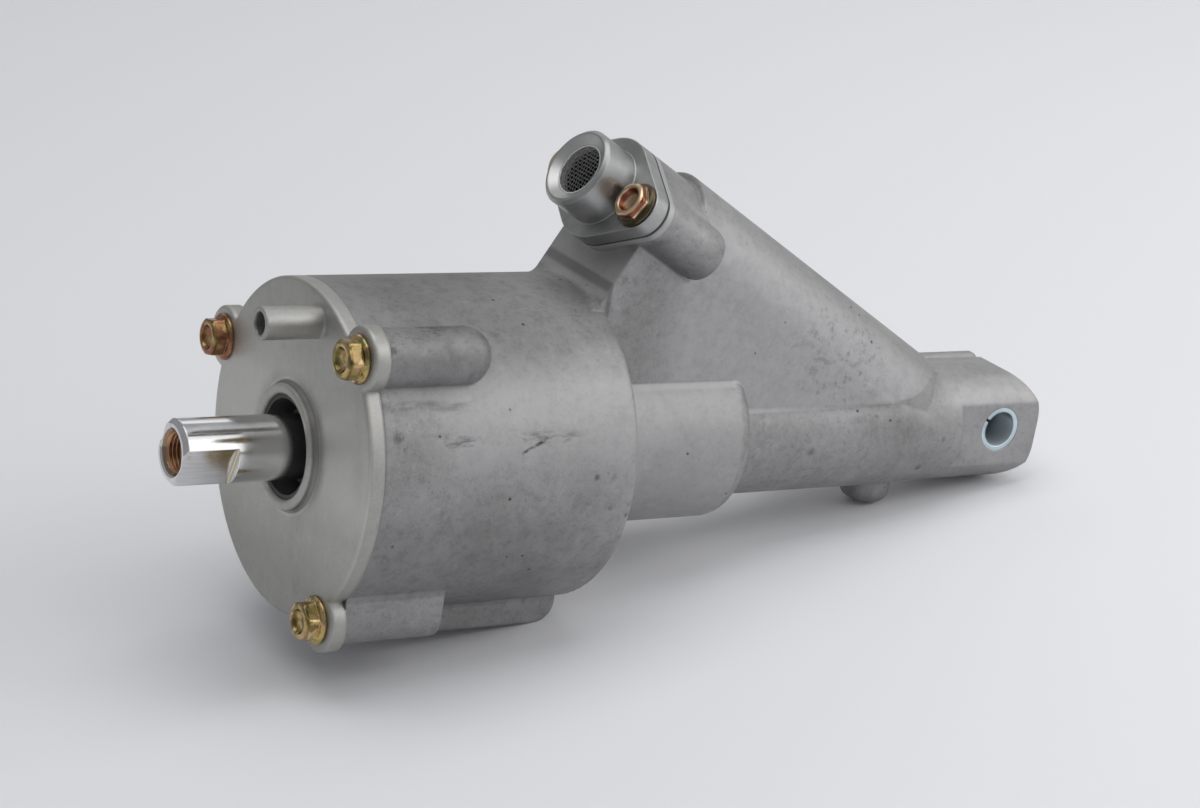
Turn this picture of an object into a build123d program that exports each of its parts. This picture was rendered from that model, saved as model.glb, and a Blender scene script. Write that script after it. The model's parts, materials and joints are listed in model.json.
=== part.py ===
from build123d import *
import os
from math import asin, cos, degrees, radians, sin, tan

# Clutch servo: compressed air in the large cylinder helps a hydraulic piston in the tail tube to push
# the plated rod, which works the clutch lever. Sizes are in millimetres.
#
# The origin is the centre of the tail eye. X lies along the rod and points to the tail, so the rod comes
# out towards -X. Y is the eye's axis. Z points up, in the plane of the slanted valve housing.
# A "station" is a distance behind the cover's front face. The valve housing has an axis of its own, and
# a "depth" is a distance down that axis from the mouth of the air fitting.

# Main layout
eye_to_cover = 310.0        # tail eye centre to the cover's front face
cover_thickness = 6.0
cylinder_length = 103.0     # behind the cover
cylinder_radius = 60.0
cylinder_wall = 6.5
rear_wall = 8.5
neck_length = 69.0
neck_radius = 34.5
tail_radius = 26.9
rear_round = 3.0            # rounding of the cylinder's rear edge
neck_round = 6.0            # rounding of the neck's rear edge

# Tail eye
eye_width = 40.8
eye_body_radius = 24.2
eye_body_drop = 2.0         # the eye end's centre lies this far below the rod axis
eye_end_reach = 19.5        # from the eye centre to the end of the casting
eye_corner = 19.0
eye_flat_length = 22.0      # side flats, ahead of the eye centre
eye_taper_start = 54.0      # where the tail tube begins to narrow, ahead of the eye centre
eye_taper_length = 22.0
bush_outer_radius = 9.1
bush_wall = 1.85
bush_seam = 1.2
bush_seam_angle = 150.0
top_rib_length = 40.0       # rib on top of the eye end
top_rib_end = 10.0          # its rear end lies this far behind the eye centre
top_rib_slope = 6.0         # bevel of its rear end
top_rib_height = 22.3       # above the rod axis
top_rib_offset = 8.0        # on the far side of the middle
top_rib_width = 3.5

# Bolts of the cover, and their bosses on the cylinder
bolt_circle_radius = 62.4
bolt_angles = (-70.9, 41.2, 144.2)     # from +Z towards the near side, -Y
bolt_radius = 4.0
bolt_clearance = 0.25
bolt_length = 28.0
bolt_hex = 12.0
bolt_head_height = 6.5
bolt_flange_radius = 8.6
bolt_flange_height = 2.0
bolt_dish = 1.2             # depth of the dish in the head
bolt_dish_radius = 4.0
dish_taper = 45.0           # degrees
bolt_reach = 26.0           # shank, under the head
cover_seal_width = 3.0
lug_radius = 11.5
boss_radius = 10.5
boss_length = 44.0
square_boss_length = 39.0
square_boss_half = 9.0
square_boss_depth = 30.0    # from the bolt into the cylinder

# Foot under the cylinder and nub under the tail
foot_width = 54.0
foot_drop = 64.0            # below the rod axis
foot_height = 37.0          # reaches into the cylinder's wall
foot_start = 40.0           # station
foot_length = 64.0
foot_corner = 8.0
nub_station = 263.0
nub_radius = 10.0
nub_drop = 34.5
nub_round = 5.0

# Rod hole, collar and breather stub of the cover
collar_inner_radius = 18.7
collar_outer_radius = 22.6
collar_height = 3.0
collar_round = 1.4          # rounding of its two front edges
collar_fillet = 1.1         # between its outside and the cover
cover_round = 1.2           # rounding of the cover's front edge
hub_radius = 25.0
hub_length = 22.0           # behind the cover
spigot_length = 5.0
spigot_wall = 4.5
breather_radius = 5.85
breather_bore_radius = 4.25
breather_length = 22.0
breather_offset = 50.0      # from the rod axis
breather_angle = 10.3       # from +Z towards the near side

# Guide bush, retaining rings and dust seal
guide_length = 12.0
hub_lip = 2.0
retaining_width = 1.5
retaining_height = 3.0
dust_seal_length = 6.5      # of the part that wipes the rod
seal_inset = 1.6            # its outer sleeve stops this far inside the collar
seal_lip = 1.6

# Push rod
rod_radius = 11.75
rod_reach = 44.9            # ahead of the cover's front face
rod_tip_chamfer = 1.6
rod_flats = 17.0            # across the spanner flats
rod_flat_length = 20.5
rod_flat_tilt = 22.0        # the flats are turned this far below the near side
rod_thread_radius = 7.2
rod_thread_depth = 34.0
rod_thread_mouth = 8.9
running_clearance = 0.05
wall_clearance = 0.3
static_clearance = 0.05
edge_tolerance = 0.01       # for picking edges by their place

# Air piston and what is on it
piston_front = 78.0         # station of its front face at rest
piston_thickness = 18.0
piston_hub_radius = 17.0
cup_groove_radius = 46.5
cup_width = 6.0
guide_groove_radius = 50.0
guide_width = 5.0
groove_edge = 2.5
piston_rim = 5.0
piston_web_depth = 5.0      # recess of the piston's front face between hub and rim
cup_lip = 1.5
stud_radius = 8.0
nut_hex = 24.0
nut_height = 4.5

# Piston return spring
spring_radius = 33.0
spring_wire = 4.4
spring_turns = 5.0

# Hydraulic piston, its bore and the gland in the neck
gland_radius = 20.0
gland_depth = 32.0          # behind the cylinder's rear wall face
gland_ring_width = 2.0
gland_seal_width = 6.0
stem_radius = 8.0
hydraulic_radius = 12.7
hydraulic_bore_end = 262.0
hydraulic_front = 184.0     # station of the hydraulic piston's front face at rest
hydraulic_length = 26.0
hydraulic_cup_length = 6.0
drill_point = 6.0

# Valve housing
mouth_station = 100.7       # centre of the air fitting's mouth
mouth_height = 102.9
valve_tilt = 30.3           # degrees down towards the tail
web_thickness = 45.0
web_depth = 27.0            # front end of the web, a flat face across the valve axis
web_heel = 45.0             # how far that face reaches below the valve axis
web_fillet = 4.5            # between that face and the cylinder
ridge_radius = 23.3
ridge_depth = 46.0
ridge_end = 192.0
flange_depth = 15.5
flange_thickness = 6.0
gasket_thickness = 1.0
flange_middle_radius = 20.5
flange_end_radius = 9.2
screw_spacing = 47.0
pad_length = 26.0
screw_boss_length = 27.0
screw_boss_draft = 3.0      # degrees, the bosses widen towards their ends
screw_length = 22.0         # tapped depth
screw_grip = 19.0           # screw length in the tapped hole
inlet_head_height = 5.2     # of the two screws, lower than the cover's bolts

# Air fitting and strainer
fitting_radius = 15.24
fitting_chamfer = 1.2
port_radius = 9.9
port_mouth_radius = 10.7
port_mouth_depth = 0.8
strainer_seat_depth = 5.0   # shoulder under the strainer
port_depth = 15.0
fitting_passage_radius = 7.6
stem_hole_radius = 4.0
spot_face_height = 7.5
fitting_spigot_length = 8.0
strainer_ring_width = 1.1
strainer_ring_height = 2.8
strainer_dome = 1.6
strainer_skin = 0.6

# Inlet valve, its seat and spring
valve_bore_radius = 14.0
valve_disc_radius = 9.5
valve_disc_depth = 33.5
valve_disc_thickness = 2.5
valve_stem_radius = 2.6
valve_stem_length = 13.0
seat_thickness = 7.0
seat_hole_radius = 6.0
valve_spring_radius = 5.4
valve_spring_wire = 1.2
valve_spring_turns = 4.0
valve_spring_start = 18.0

# Relay piston and pilot plunger
exhaust_gap = 1.0
relay_stem_radius = 4.4
relay_head_depth = 57.0
relay_head_thickness = 9.0
relay_seal_width = 3.0
relay_seal_height = 2.6
exhaust_radius = 2.0
relay_spring_radius = 9.0
relay_spring_wire = 1.6
relay_spring_turns = 3.5
relay_end_gap = 5.0         # between the relay piston's rear face and the end of its bore
pilot_radius = 7.0
pilot_length = 30.0
pilot_cup_length = 4.0
pilot_fluid_gap = 12.0      # fluid space behind the pilot's cup
passage_radius = 2.0
passage_end = 178.0
air_passage_radius = 4.0
air_passage_height = 45.0
air_passage_end = 181.0

# Hydraulic inlet and bleed screw, on the far side
inlet_station = 246.0
inlet_boss_radius = 11.0
inlet_boss_reach = 35.0
inlet_thread_radius = 5.4
inlet_thread_depth = 13.0
inlet_drill_radius = 2.2
bleed_depth = 146.0         # on the valve axis
bleed_boss_radius = 9.0
bleed_boss_reach = 29.0
bleed_thread_radius = 4.2
bleed_thread_depth = 14.0
bleed_seat_radius = 1.2
bleed_hex = 10.0
bleed_hex_height = 7.0
bleed_nipple_radius = 3.2
bleed_nipple_length = 12.0
bleed_tip_taper = 1.6
bleed_bore_radius = 0.9
bleed_cap_radius = 5.2
bleed_cap_clearance = 0.1
bleed_cap_wall = 1.5


# Places along the rod axis
def station(distance):
    """X of a point at this distance behind the cover's front face."""
    return distance - eye_to_cover


joint_station = cover_thickness
cylinder_end = cover_thickness + cylinder_length
neck_end = cylinder_end + neck_length
bore_radius = cylinder_radius - cylinder_wall
bore_end = cylinder_end - rear_wall
gland_end = bore_end + gland_depth
eye_half = eye_width / 2
rod_end_x = station(-rod_reach)

# Planes and axes of the valve housing
tilt = radians(valve_tilt)
valve_direction = Vector(cos(tilt), 0, -sin(tilt))
valve_mouth = Vector(station(mouth_station), 0, mouth_height)
valve_axis = Axis(valve_mouth, valve_direction)
valve_section = Plane(origin=valve_mouth, x_dir=valve_direction, z_dir=(0, -1, 0))
flange_back = flange_depth + flange_thickness
pad_face = flange_back + gasket_thickness
screw_places = [(-screw_spacing / 2, 0), (screw_spacing / 2, 0)]
relay_head_end = relay_head_depth + relay_head_thickness
valve_bore_end = relay_head_end + relay_end_gap
pilot_end = relay_head_end + pilot_length
pilot_bore_end = pilot_end + pilot_cup_length + pilot_fluid_gap


def valve_plane(depth):
    """Plane across the valve axis at this depth, with its local x along +Y."""
    return Plane(origin=valve_mouth + valve_direction * depth, x_dir=(0, 1, 0), z_dir=valve_direction)


def bolt_point(angle, radius=bolt_circle_radius):
    """Place on a YZ plane, at an angle from +Z towards the near side."""
    return (-radius * sin(radians(angle)), radius * cos(radians(angle)))


def ring_edges(part, x, radius):
    """Circular edges about the rod axis at this x with this radius."""
    rings = part.edges().filter_by(GeomType.CIRCLE)
    return [edge for edge in rings if abs(edge.radius - radius) < edge_tolerance
            and abs(edge.center().X - x) < edge_tolerance]


def from_rod_axis(point):
    """Distance of a point from the rod axis."""
    return Vector(0, point.Y, point.Z).length


def flange_outline():
    """Oval outline of the fitting's flange, its gasket and the pad that they sit on."""
    with BuildSketch() as outline:
        Circle(flange_middle_radius)
        with Locations(*screw_places):
            Circle(flange_end_radius)
        make_hull()
    return outline.sketch


def turned(section, axis, outline):
    """Solid of revolution from its (distance, radius) corners."""
    with BuildPart() as piece:
        with BuildSketch(section):
            with BuildLine():
                Polyline(*outline, close=True)
            make_face()
        revolve(axis=axis)
    return piece


def rod_ring(start, end, inner, outer):
    """Plain ring about the rod axis between two stations."""
    return turned(Plane.XZ, Axis.X, [(station(start), inner), (station(start), outer),
                                     (station(end), outer), (station(end), inner)])


def valve_ring(start, end, inner, outer):
    """Plain ring about the valve axis between two depths."""
    return turned(valve_section, valve_axis, [(start, inner), (start, outer), (end, outer), (end, inner)])


def hexagon(width):
    """Hexagon sketch by its width across flats."""
    return RegularPolygon(width / 2, 6, major_radius=False)


def flange_screw(place, shank_length, head_height):
    """Hexagon screw with a flange and a dished head; the plane's normal points down its shank."""
    with BuildPart() as screw:
        with BuildSketch(place):
            Circle(bolt_radius - static_clearance)
        extrude(amount=shank_length)
        with BuildSketch(place.offset(-bolt_flange_height)):
            Circle(bolt_flange_radius)
        extrude(amount=bolt_flange_height)
        with BuildSketch(place.offset(-head_height)):
            hexagon(bolt_hex)
        extrude(amount=head_height - bolt_flange_height)
        with BuildSketch(place.offset(-head_height)):
            Circle(bolt_dish_radius)
        extrude(amount=bolt_dish, taper=dish_taper, mode=Mode.SUBTRACT)
    return screw.part


def coil_spring(base, radius, wire_radius, length, turns):
    """Coil spring of round wire that stands on a plane."""
    height = length - 2 * wire_radius
    with BuildPart() as spring:
        with BuildLine() as line:
            Helix(pitch=height / turns, height=height, radius=radius,
                  center=base.origin + base.z_dir * wire_radius, direction=base.z_dir)
        with BuildSketch(Plane(origin=line.line @ 0, z_dir=line.line % 0)):
            RegularPolygon(wire_radius, 8)
        sweep(path=line.line, is_frenet=True)
    return spring


def save(piece, name):
    """Name a finished piece and write it to its own file."""
    piece.part.label = name
    export_step(piece.part, f"parts/{name}.step")


os.makedirs("parts", exist_ok=True)

# Eye end of the tail: a round body that narrows from the tail tube, with flat sides and a rounded end
with BuildPart() as eye_end:
    with BuildSketch(Plane.YZ.offset(-eye_taper_start)):
        Circle(tail_radius)
    with BuildSketch(Plane.YZ.offset(eye_taper_length - eye_taper_start)) as eye_round:
        with Locations((0, -eye_body_drop)):
            Circle(eye_body_radius)
    loft()
    extrude(eye_round.sketch, amount=eye_taper_start - eye_taper_length + eye_end_reach)
    with BuildSketch(Plane.XZ) as side_outline:
        with Locations((eye_end_reach, -eye_body_drop)):
            Rectangle(2 * eye_end_reach, 2 * eye_body_radius, align=(Align.MAX, Align.CENTER))
        fillet(side_outline.vertices().group_by(Axis.X)[-1], eye_corner)
        Rectangle(eye_taper_start, 4 * eye_body_radius, align=(Align.MAX, Align.CENTER))
    extrude(amount=eye_width, both=True, mode=Mode.INTERSECT)
    for side in (1, -1):
        with BuildSketch(Plane.XZ.offset(side * eye_half)):
            with Locations((-eye_flat_length, 0)):
                Rectangle(2 * eye_flat_length + eye_end_reach, 3 * eye_body_radius,
                          align=(Align.MIN, Align.CENTER))
        extrude(amount=side * eye_body_radius, mode=Mode.SUBTRACT)

# Valve housing: a flat-sided web under a round ridge, with a pad and two screw bosses at its upper end
with BuildPart() as valve_housing:
    top = valve_section.from_local_coords((web_depth, 0))
    heel = valve_section.from_local_coords((web_depth, -web_heel))
    foot = valve_section.from_local_coords((ridge_end, 0))
    with BuildSketch(Plane.XZ) as web:
        with BuildLine():
            Polyline((heel.X, 0), (heel.X, heel.Z), (top.X, top.Z), (foot.X, foot.Z), close=True)
        make_face()
    extrude(amount=web_thickness / 2, both=True)
    with BuildSketch(valve_plane(pad_face)):
        add(flange_outline())
    extrude(amount=pad_length)
    with BuildSketch(valve_plane(ridge_depth)):
        Circle(ridge_radius)
    extrude(amount=ridge_end - ridge_depth)
    with BuildSketch(valve_plane(pad_face)):
        with Locations(*screw_places):
            Circle(flange_end_radius)
    extrude(amount=screw_boss_length, taper=-screw_boss_draft)
    for place in screw_places:
        with Locations(valve_plane(pad_face + screw_boss_length).location * Pos(*place)):
            Sphere(flange_end_radius + screw_boss_length * tan(radians(screw_boss_draft)))

# Round nub under the tail
with BuildPart() as nub:
    with BuildSketch(Plane.XY.offset(-nub_drop)):
        with Locations((station(nub_station), 0)):
            Circle(nub_radius)
    extrude(amount=nub_drop)
    fillet(nub.edges().filter_by(GeomType.CIRCLE).sort_by(Axis.Z)[0], nub_round)

# Main housing: one casting
with BuildPart() as main_housing:
    with BuildSketch(Plane.XZ) as body_outline:
        with BuildLine():
            Polyline((station(joint_station), 0), (station(joint_station), cylinder_radius),
                     (station(cylinder_end), cylinder_radius), (station(cylinder_end), neck_radius),
                     (station(neck_end), neck_radius), (station(neck_end), tail_radius),
                     (-eye_taper_start, tail_radius), (-eye_taper_start, 0), close=True)
        make_face()
    revolve(axis=Axis.X)
    fillet(ring_edges(main_housing, station(cylinder_end), cylinder_radius), rear_round)
    fillet(ring_edges(main_housing, station(neck_end), neck_radius), neck_round)
    add(eye_end.part)
    add(valve_housing.part)
    heel_edges = [edge for edge in main_housing.edges() if all(
        abs((edge.position_at(t) - valve_mouth).dot(valve_direction) - web_depth) < edge_tolerance
        and abs(from_rod_axis(edge.position_at(t)) - cylinder_radius) < edge_tolerance
        for t in (0.1, 0.5, 0.9))]
    fillet(heel_edges, web_fillet)

    # Cover bolt bosses: two with round ends, and a square one that stands on the casting's parting line
    for angle in bolt_angles[:2]:
        with BuildSketch(Plane.YZ.offset(station(joint_station))):
            with Locations(bolt_point(angle)):
                Circle(boss_radius)
        extrude(amount=boss_length - boss_radius)
        with Locations((station(joint_station + boss_length - boss_radius), *bolt_point(angle))):
            Sphere(boss_radius)
    square_y, square_z = bolt_point(bolt_angles[2])
    with BuildSketch(Plane.YZ.offset(station(joint_station))):
        with Locations((square_y, square_z)):
            Circle(square_boss_half)
            Rectangle(2 * square_boss_half, square_boss_depth, align=(Align.CENTER, Align.MIN))
    extrude(amount=square_boss_length)

    # Flat foot, nub, rib on top of the eye end
    with BuildSketch(Plane.XZ) as foot_side:
        with Locations((station(foot_start), -foot_drop)):
            Rectangle(foot_length, foot_height, align=(Align.MIN, Align.MIN))
        fillet(foot_side.vertices().group_by(Axis.Y)[0].sort_by(Axis.X)[-1], foot_corner)
    extrude(amount=foot_width / 2, both=True)
    add(nub.part)
    with BuildSketch(Plane.XZ.offset(-top_rib_offset)):
        with BuildLine():
            Polyline((top_rib_end - top_rib_length, 0), (top_rib_end - top_rib_length, top_rib_height),
                     (top_rib_end - top_rib_slope, top_rib_height),
                     (top_rib_end, top_rib_height - top_rib_slope),
                     (top_rib_end, 0), close=True)
        make_face()
    extrude(amount=-top_rib_width)

    # Bosses of the hydraulic inlet and the bleed screw, on the far side
    bleed_place = valve_mouth + valve_direction * bleed_depth
    with BuildSketch(Plane.XZ):
        with Locations((station(inlet_station), 0)):
            Circle(inlet_boss_radius)
    extrude(amount=-inlet_boss_reach)
    with BuildSketch(Plane.XZ):
        with Locations((bleed_place.X, bleed_place.Z)):
            Circle(bleed_boss_radius)
    extrude(amount=-bleed_boss_reach)

    # Air bore, gland bore and hydraulic bore
    with BuildSketch(Plane.XZ):
        with BuildLine():
            Polyline((station(joint_station), 0), (station(joint_station), bore_radius),
                     (station(bore_end), bore_radius), (station(bore_end), gland_radius),
                     (station(gland_end), gland_radius), (station(gland_end), hydraulic_radius),
                     (station(hydraulic_bore_end), hydraulic_radius),
                     (station(hydraulic_bore_end + drill_point), 0), close=True)
        make_face()
    revolve(axis=Axis.X, mode=Mode.SUBTRACT)

    # Valve bore, pilot bore and the passage down to the hydraulic bore
    with BuildSketch(valve_section):
        with BuildLine():
            Polyline((pad_face, 0), (pad_face, valve_bore_radius), (valve_bore_end, valve_bore_radius),
                     (valve_bore_end, pilot_radius), (pilot_bore_end, pilot_radius),
                     (pilot_bore_end, passage_radius), (passage_end, passage_radius),
                     (passage_end, 0), close=True)
        make_face()
    revolve(axis=valve_axis, mode=Mode.SUBTRACT)
    with BuildSketch(Plane.YZ.offset(station(bore_end))):
        with Locations((0, air_passage_height)):
            Circle(air_passage_radius)
    extrude(amount=air_passage_end - bore_end, mode=Mode.SUBTRACT)

    # Tapped holes, eye hole, hydraulic inlet and bleed drilling
    with BuildSketch(Plane.YZ.offset(station(joint_station))):
        with Locations(*[bolt_point(angle) for angle in bolt_angles]):
            Circle(bolt_radius)
    extrude(amount=bolt_length, mode=Mode.SUBTRACT)
    with BuildSketch(valve_plane(pad_face)):
        with Locations(*screw_places):
            Circle(bolt_radius)
    extrude(amount=screw_length, mode=Mode.SUBTRACT)
    with BuildSketch(Plane.XZ):
        Circle(bush_outer_radius)
    extrude(amount=eye_width, both=True, mode=Mode.SUBTRACT)
    with BuildSketch(Plane.XZ.offset(-inlet_boss_reach)):
        with Locations((station(inlet_station), 0)):
            Circle(inlet_thread_radius)
    extrude(amount=inlet_thread_depth, mode=Mode.SUBTRACT)
    with BuildSketch(Plane.XZ):
        with Locations((station(inlet_station), 0)):
            Circle(inlet_drill_radius)
    extrude(amount=-inlet_boss_reach, mode=Mode.SUBTRACT)
    with BuildSketch(Plane.XZ.offset(-bleed_boss_reach)):
        with Locations((bleed_place.X, bleed_place.Z)):
            Circle(bleed_thread_radius)
    extrude(amount=bleed_thread_depth, mode=Mode.SUBTRACT)
    with BuildSketch(Plane.XZ):
        with Locations((bleed_place.X, bleed_place.Z)):
            Circle(bleed_seat_radius)
    extrude(amount=-bleed_boss_reach, mode=Mode.SUBTRACT)
save(main_housing, "main_housing")

# Front cover: disc with three lugs, a collar in front, and a hub and a spigot behind
hub_end = joint_station + hub_length
breather_place = bolt_point(breather_angle, breather_offset)
with BuildPart() as front_cover:
    with BuildSketch(Plane.YZ.offset(station(0))) as plate:
        Circle(cylinder_radius)
        with Locations(*[bolt_point(angle) for angle in bolt_angles]):
            Circle(lug_radius)
    extrude(amount=cover_thickness)
    fillet(front_cover.faces().sort_by(Axis.X)[0].edges(), cover_round)
    with BuildSketch(Plane.YZ.offset(station(-collar_height))):
        Circle(collar_outer_radius)
    extrude(amount=collar_height)
    fillet(ring_edges(front_cover, station(0), collar_outer_radius), collar_fillet)
    with BuildSketch(Plane.YZ.offset(station(joint_station))):
        Circle(hub_radius)
        Circle(bore_radius - static_clearance)
        Circle(bore_radius - spigot_wall, mode=Mode.SUBTRACT)
        Circle(hub_radius)
    extrude(amount=spigot_length)
    with BuildSketch(Plane.YZ.offset(station(joint_station))):
        Circle(hub_radius)
    extrude(amount=hub_length)
    with BuildSketch(Plane.YZ.offset(station(-breather_length))):
        with Locations(breather_place):
            Circle(breather_radius)
    extrude(amount=breather_length)
    with BuildSketch(Plane.YZ.offset(station(-breather_length))):
        with Locations(breather_place):
            Circle(breather_bore_radius)
    extrude(amount=breather_length + cover_thickness + spigot_length, mode=Mode.SUBTRACT)
    with BuildSketch(Plane.YZ.offset(station(-collar_height))):
        Circle(collar_inner_radius)
    extrude(amount=collar_height + hub_end, mode=Mode.SUBTRACT)
    fillet(ring_edges(front_cover, station(-collar_height), collar_outer_radius)
           + ring_edges(front_cover, station(-collar_height), collar_inner_radius), collar_round)
    with BuildSketch(Plane.YZ.offset(station(0))):
        with Locations(*[bolt_point(angle) for angle in bolt_angles]):
            Circle(bolt_radius + bolt_clearance)
    extrude(amount=cover_thickness, mode=Mode.SUBTRACT)
save(front_cover, "front_cover")

# Cover screws and seal ring
with BuildPart() as cover_bolts:
    for angle in bolt_angles:
        place = Plane.YZ.offset(station(0))
        middle = place.from_local_coords(bolt_point(angle))
        add(flange_screw(Plane(origin=middle, x_dir=(0, 1, 0), z_dir=(1, 0, 0)), bolt_reach,
                         bolt_head_height))
save(cover_bolts, "cover_bolts")

cover_seal_ring = rod_ring(joint_station + spigot_length, joint_station + spigot_length + cover_seal_width,
                           bore_radius - spigot_wall, bore_radius - static_clearance)
save(cover_seal_ring, "cover_seal_ring")

# Guide bush and its retaining ring in the cover's hub, and the dust seal in front of them
hub_bore_radius = collar_inner_radius
guide_end = hub_end - hub_lip
guide_start = guide_end - guide_length
rod_guide_bush = rod_ring(guide_start, guide_end, rod_radius + running_clearance,
                          hub_bore_radius - static_clearance)
save(rod_guide_bush, "rod_guide_bush")
guide_retaining_ring = rod_ring(guide_start - retaining_width, guide_start,
                                hub_bore_radius - retaining_height, hub_bore_radius - static_clearance)
save(guide_retaining_ring, "guide_retaining_ring")
seal_back = guide_start - retaining_width
seal_front = seal_inset - collar_height
rod_dust_seal = turned(Plane.XZ, Axis.X, [
    (station(seal_back), hub_bore_radius - static_clearance),
    (station(seal_back), rod_radius + wall_clearance + seal_lip),
    (station(seal_back - seal_lip), rod_radius + wall_clearance),
    (station(seal_back - dust_seal_length), rod_radius + wall_clearance),
    (station(seal_back - dust_seal_length), rod_radius + wall_clearance + seal_lip),
    (station(seal_back - seal_lip), hub_bore_radius - seal_lip),
    (station(seal_front), hub_bore_radius - seal_lip),
    (station(seal_front), hub_bore_radius - static_clearance)])
save(rod_dust_seal, "rod_dust_seal")

# Push rod: plated bar with spanner flats and a tapped end, and a stud that carries the air piston
piston_back = piston_front + piston_thickness
with BuildPart() as push_rod:
    with BuildSketch(Plane.XZ):
        with BuildLine():
            Polyline((rod_end_x, 0), (rod_end_x, rod_radius - rod_tip_chamfer),
                     (rod_end_x + rod_tip_chamfer, rod_radius), (station(piston_front), rod_radius),
                     (station(piston_front), stud_radius), (station(piston_back + nut_height), stud_radius),
                     (station(piston_back + nut_height), 0), close=True)
        make_face()
    revolve(axis=Axis.X)
    with BuildSketch(Plane.YZ.offset(rod_end_x)) as flats:
        with Locations((0, 0)):
            Circle(2 * rod_radius)
            Rectangle(rod_flats, 4 * rod_radius, rotation=rod_flat_tilt, mode=Mode.SUBTRACT)
    extrude(amount=rod_flat_length, mode=Mode.SUBTRACT)
    with BuildSketch(Plane.XZ):
        with BuildLine():
            Polyline((rod_end_x, 0), (rod_end_x, rod_thread_mouth),
                     (rod_end_x + rod_thread_mouth - rod_thread_radius, rod_thread_radius),
                     (rod_end_x + rod_thread_depth, rod_thread_radius),
                     (rod_end_x + rod_thread_depth + rod_thread_radius / 2, 0), close=True)
        make_face()
    revolve(axis=Axis.X, mode=Mode.SUBTRACT)
save(push_rod, "push_rod")

# Air piston with its cup seal, guide ring, clamping nut and return spring
piston_radius = bore_radius - wall_clearance
cup_front = piston_back - groove_edge - cup_width
guide_front = piston_front + groove_edge
piston_web_front = piston_front + piston_web_depth
air_piston = turned(Plane.XZ, Axis.X, [
    (station(piston_front), stud_radius + static_clearance), (station(piston_front), piston_hub_radius),
    (station(piston_web_front), piston_hub_radius),
    (station(piston_web_front), guide_groove_radius - piston_rim),
    (station(piston_front), guide_groove_radius - piston_rim), (station(piston_front), piston_radius),
    (station(guide_front), piston_radius), (station(guide_front), guide_groove_radius),
    (station(guide_front + guide_width), guide_groove_radius),
    (station(guide_front + guide_width), piston_radius),
    (station(cup_front), piston_radius), (station(cup_front), cup_groove_radius),
    (station(cup_front + cup_width), cup_groove_radius), (station(cup_front + cup_width), piston_radius),
    (station(piston_back), piston_radius), (station(piston_back), stud_radius + static_clearance)])
save(air_piston, "air_piston")
piston_cup_seal = turned(Plane.XZ, Axis.X, [
    (station(cup_front), cup_groove_radius + static_clearance), (station(cup_front), piston_radius),
    (station(cup_front + cup_width), piston_radius + wall_clearance - running_clearance),
    (station(cup_front + cup_width), piston_radius + wall_clearance - running_clearance - cup_lip),
    (station(cup_front + cup_lip), (cup_groove_radius + piston_radius) / 2),
    (station(cup_front + cup_width), cup_groove_radius + static_clearance + cup_lip),
    (station(cup_front + cup_width), cup_groove_radius + static_clearance)])
save(piston_cup_seal, "piston_cup_seal")
piston_guide_ring = rod_ring(guide_front, guide_front + guide_width, guide_groove_radius + static_clearance,
                             bore_radius - running_clearance)
save(piston_guide_ring, "piston_guide_ring")
with BuildPart() as piston_nut:
    with BuildSketch(Plane.YZ.offset(station(piston_back))):
        hexagon(nut_hex)
        Circle(stud_radius + static_clearance, mode=Mode.SUBTRACT)
    extrude(amount=nut_height)
save(piston_nut, "piston_nut")
piston_return_spring = coil_spring(Plane.YZ.offset(station(joint_station)), spring_radius, spring_wire / 2,
                                   piston_web_front - joint_station, spring_turns)
save(piston_return_spring, "piston_return_spring")

# Hydraulic piston with its stem, and its cup
plunger_radius = hydraulic_radius - running_clearance
hydraulic_back = hydraulic_front + hydraulic_length
with BuildPart() as hydraulic_piston:
    with BuildSketch(Plane.XZ):
        with BuildLine():
            Polyline((station(piston_back + nut_height), 0), (station(piston_back + nut_height), stem_radius),
                     (station(hydraulic_front), stem_radius), (station(hydraulic_front), plunger_radius),
                     (station(hydraulic_back), plunger_radius), (station(hydraulic_back), 0), close=True)
        make_face()
    revolve(axis=Axis.X)
save(hydraulic_piston, "hydraulic_piston")
hydraulic_cup_seal = turned(Plane.XZ, Axis.X, [
    (station(hydraulic_back), 0), (station(hydraulic_back), plunger_radius),
    (station(hydraulic_back + hydraulic_cup_length), plunger_radius),
    (station(hydraulic_back + hydraulic_cup_length), plunger_radius - cup_lip),
    (station(hydraulic_back + cup_lip), plunger_radius - 2 * cup_lip),
    (station(hydraulic_back + cup_lip), 0)])
save(hydraulic_cup_seal, "hydraulic_cup_seal")

# Gland in the neck: bush, seal and retaining ring
gland_outer = gland_radius - static_clearance
gland_seal_start = gland_end - gland_seal_width
gland_bush_start = bore_end + nut_height + gland_ring_width
gland_bush = rod_ring(gland_bush_start, gland_seal_start, stem_radius + running_clearance, gland_outer)
save(gland_bush, "gland_bush")
gland_seal = rod_ring(gland_seal_start, gland_end, stem_radius + running_clearance, gland_outer)
save(gland_seal, "gland_seal")
gland_retaining_ring = rod_ring(gland_bush_start - gland_ring_width, gland_bush_start,
                                gland_radius - retaining_height, gland_outer)
save(gland_retaining_ring, "gland_retaining_ring")

# Rolled bush of the tail eye, with an open seam
with BuildPart() as tail_eye_bush:
    with BuildSketch(Plane.XZ.offset(-eye_half)):
        Circle(bush_outer_radius - static_clearance)
        Circle(bush_outer_radius - bush_wall, mode=Mode.SUBTRACT)
        with Locations(Rotation(0, 0, bush_seam_angle)):
            Rectangle(2 * bush_outer_radius, bush_seam, align=(Align.MIN, Align.CENTER), mode=Mode.SUBTRACT)
    extrude(amount=eye_width)
save(tail_eye_bush, "tail_eye_bush")

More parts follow.
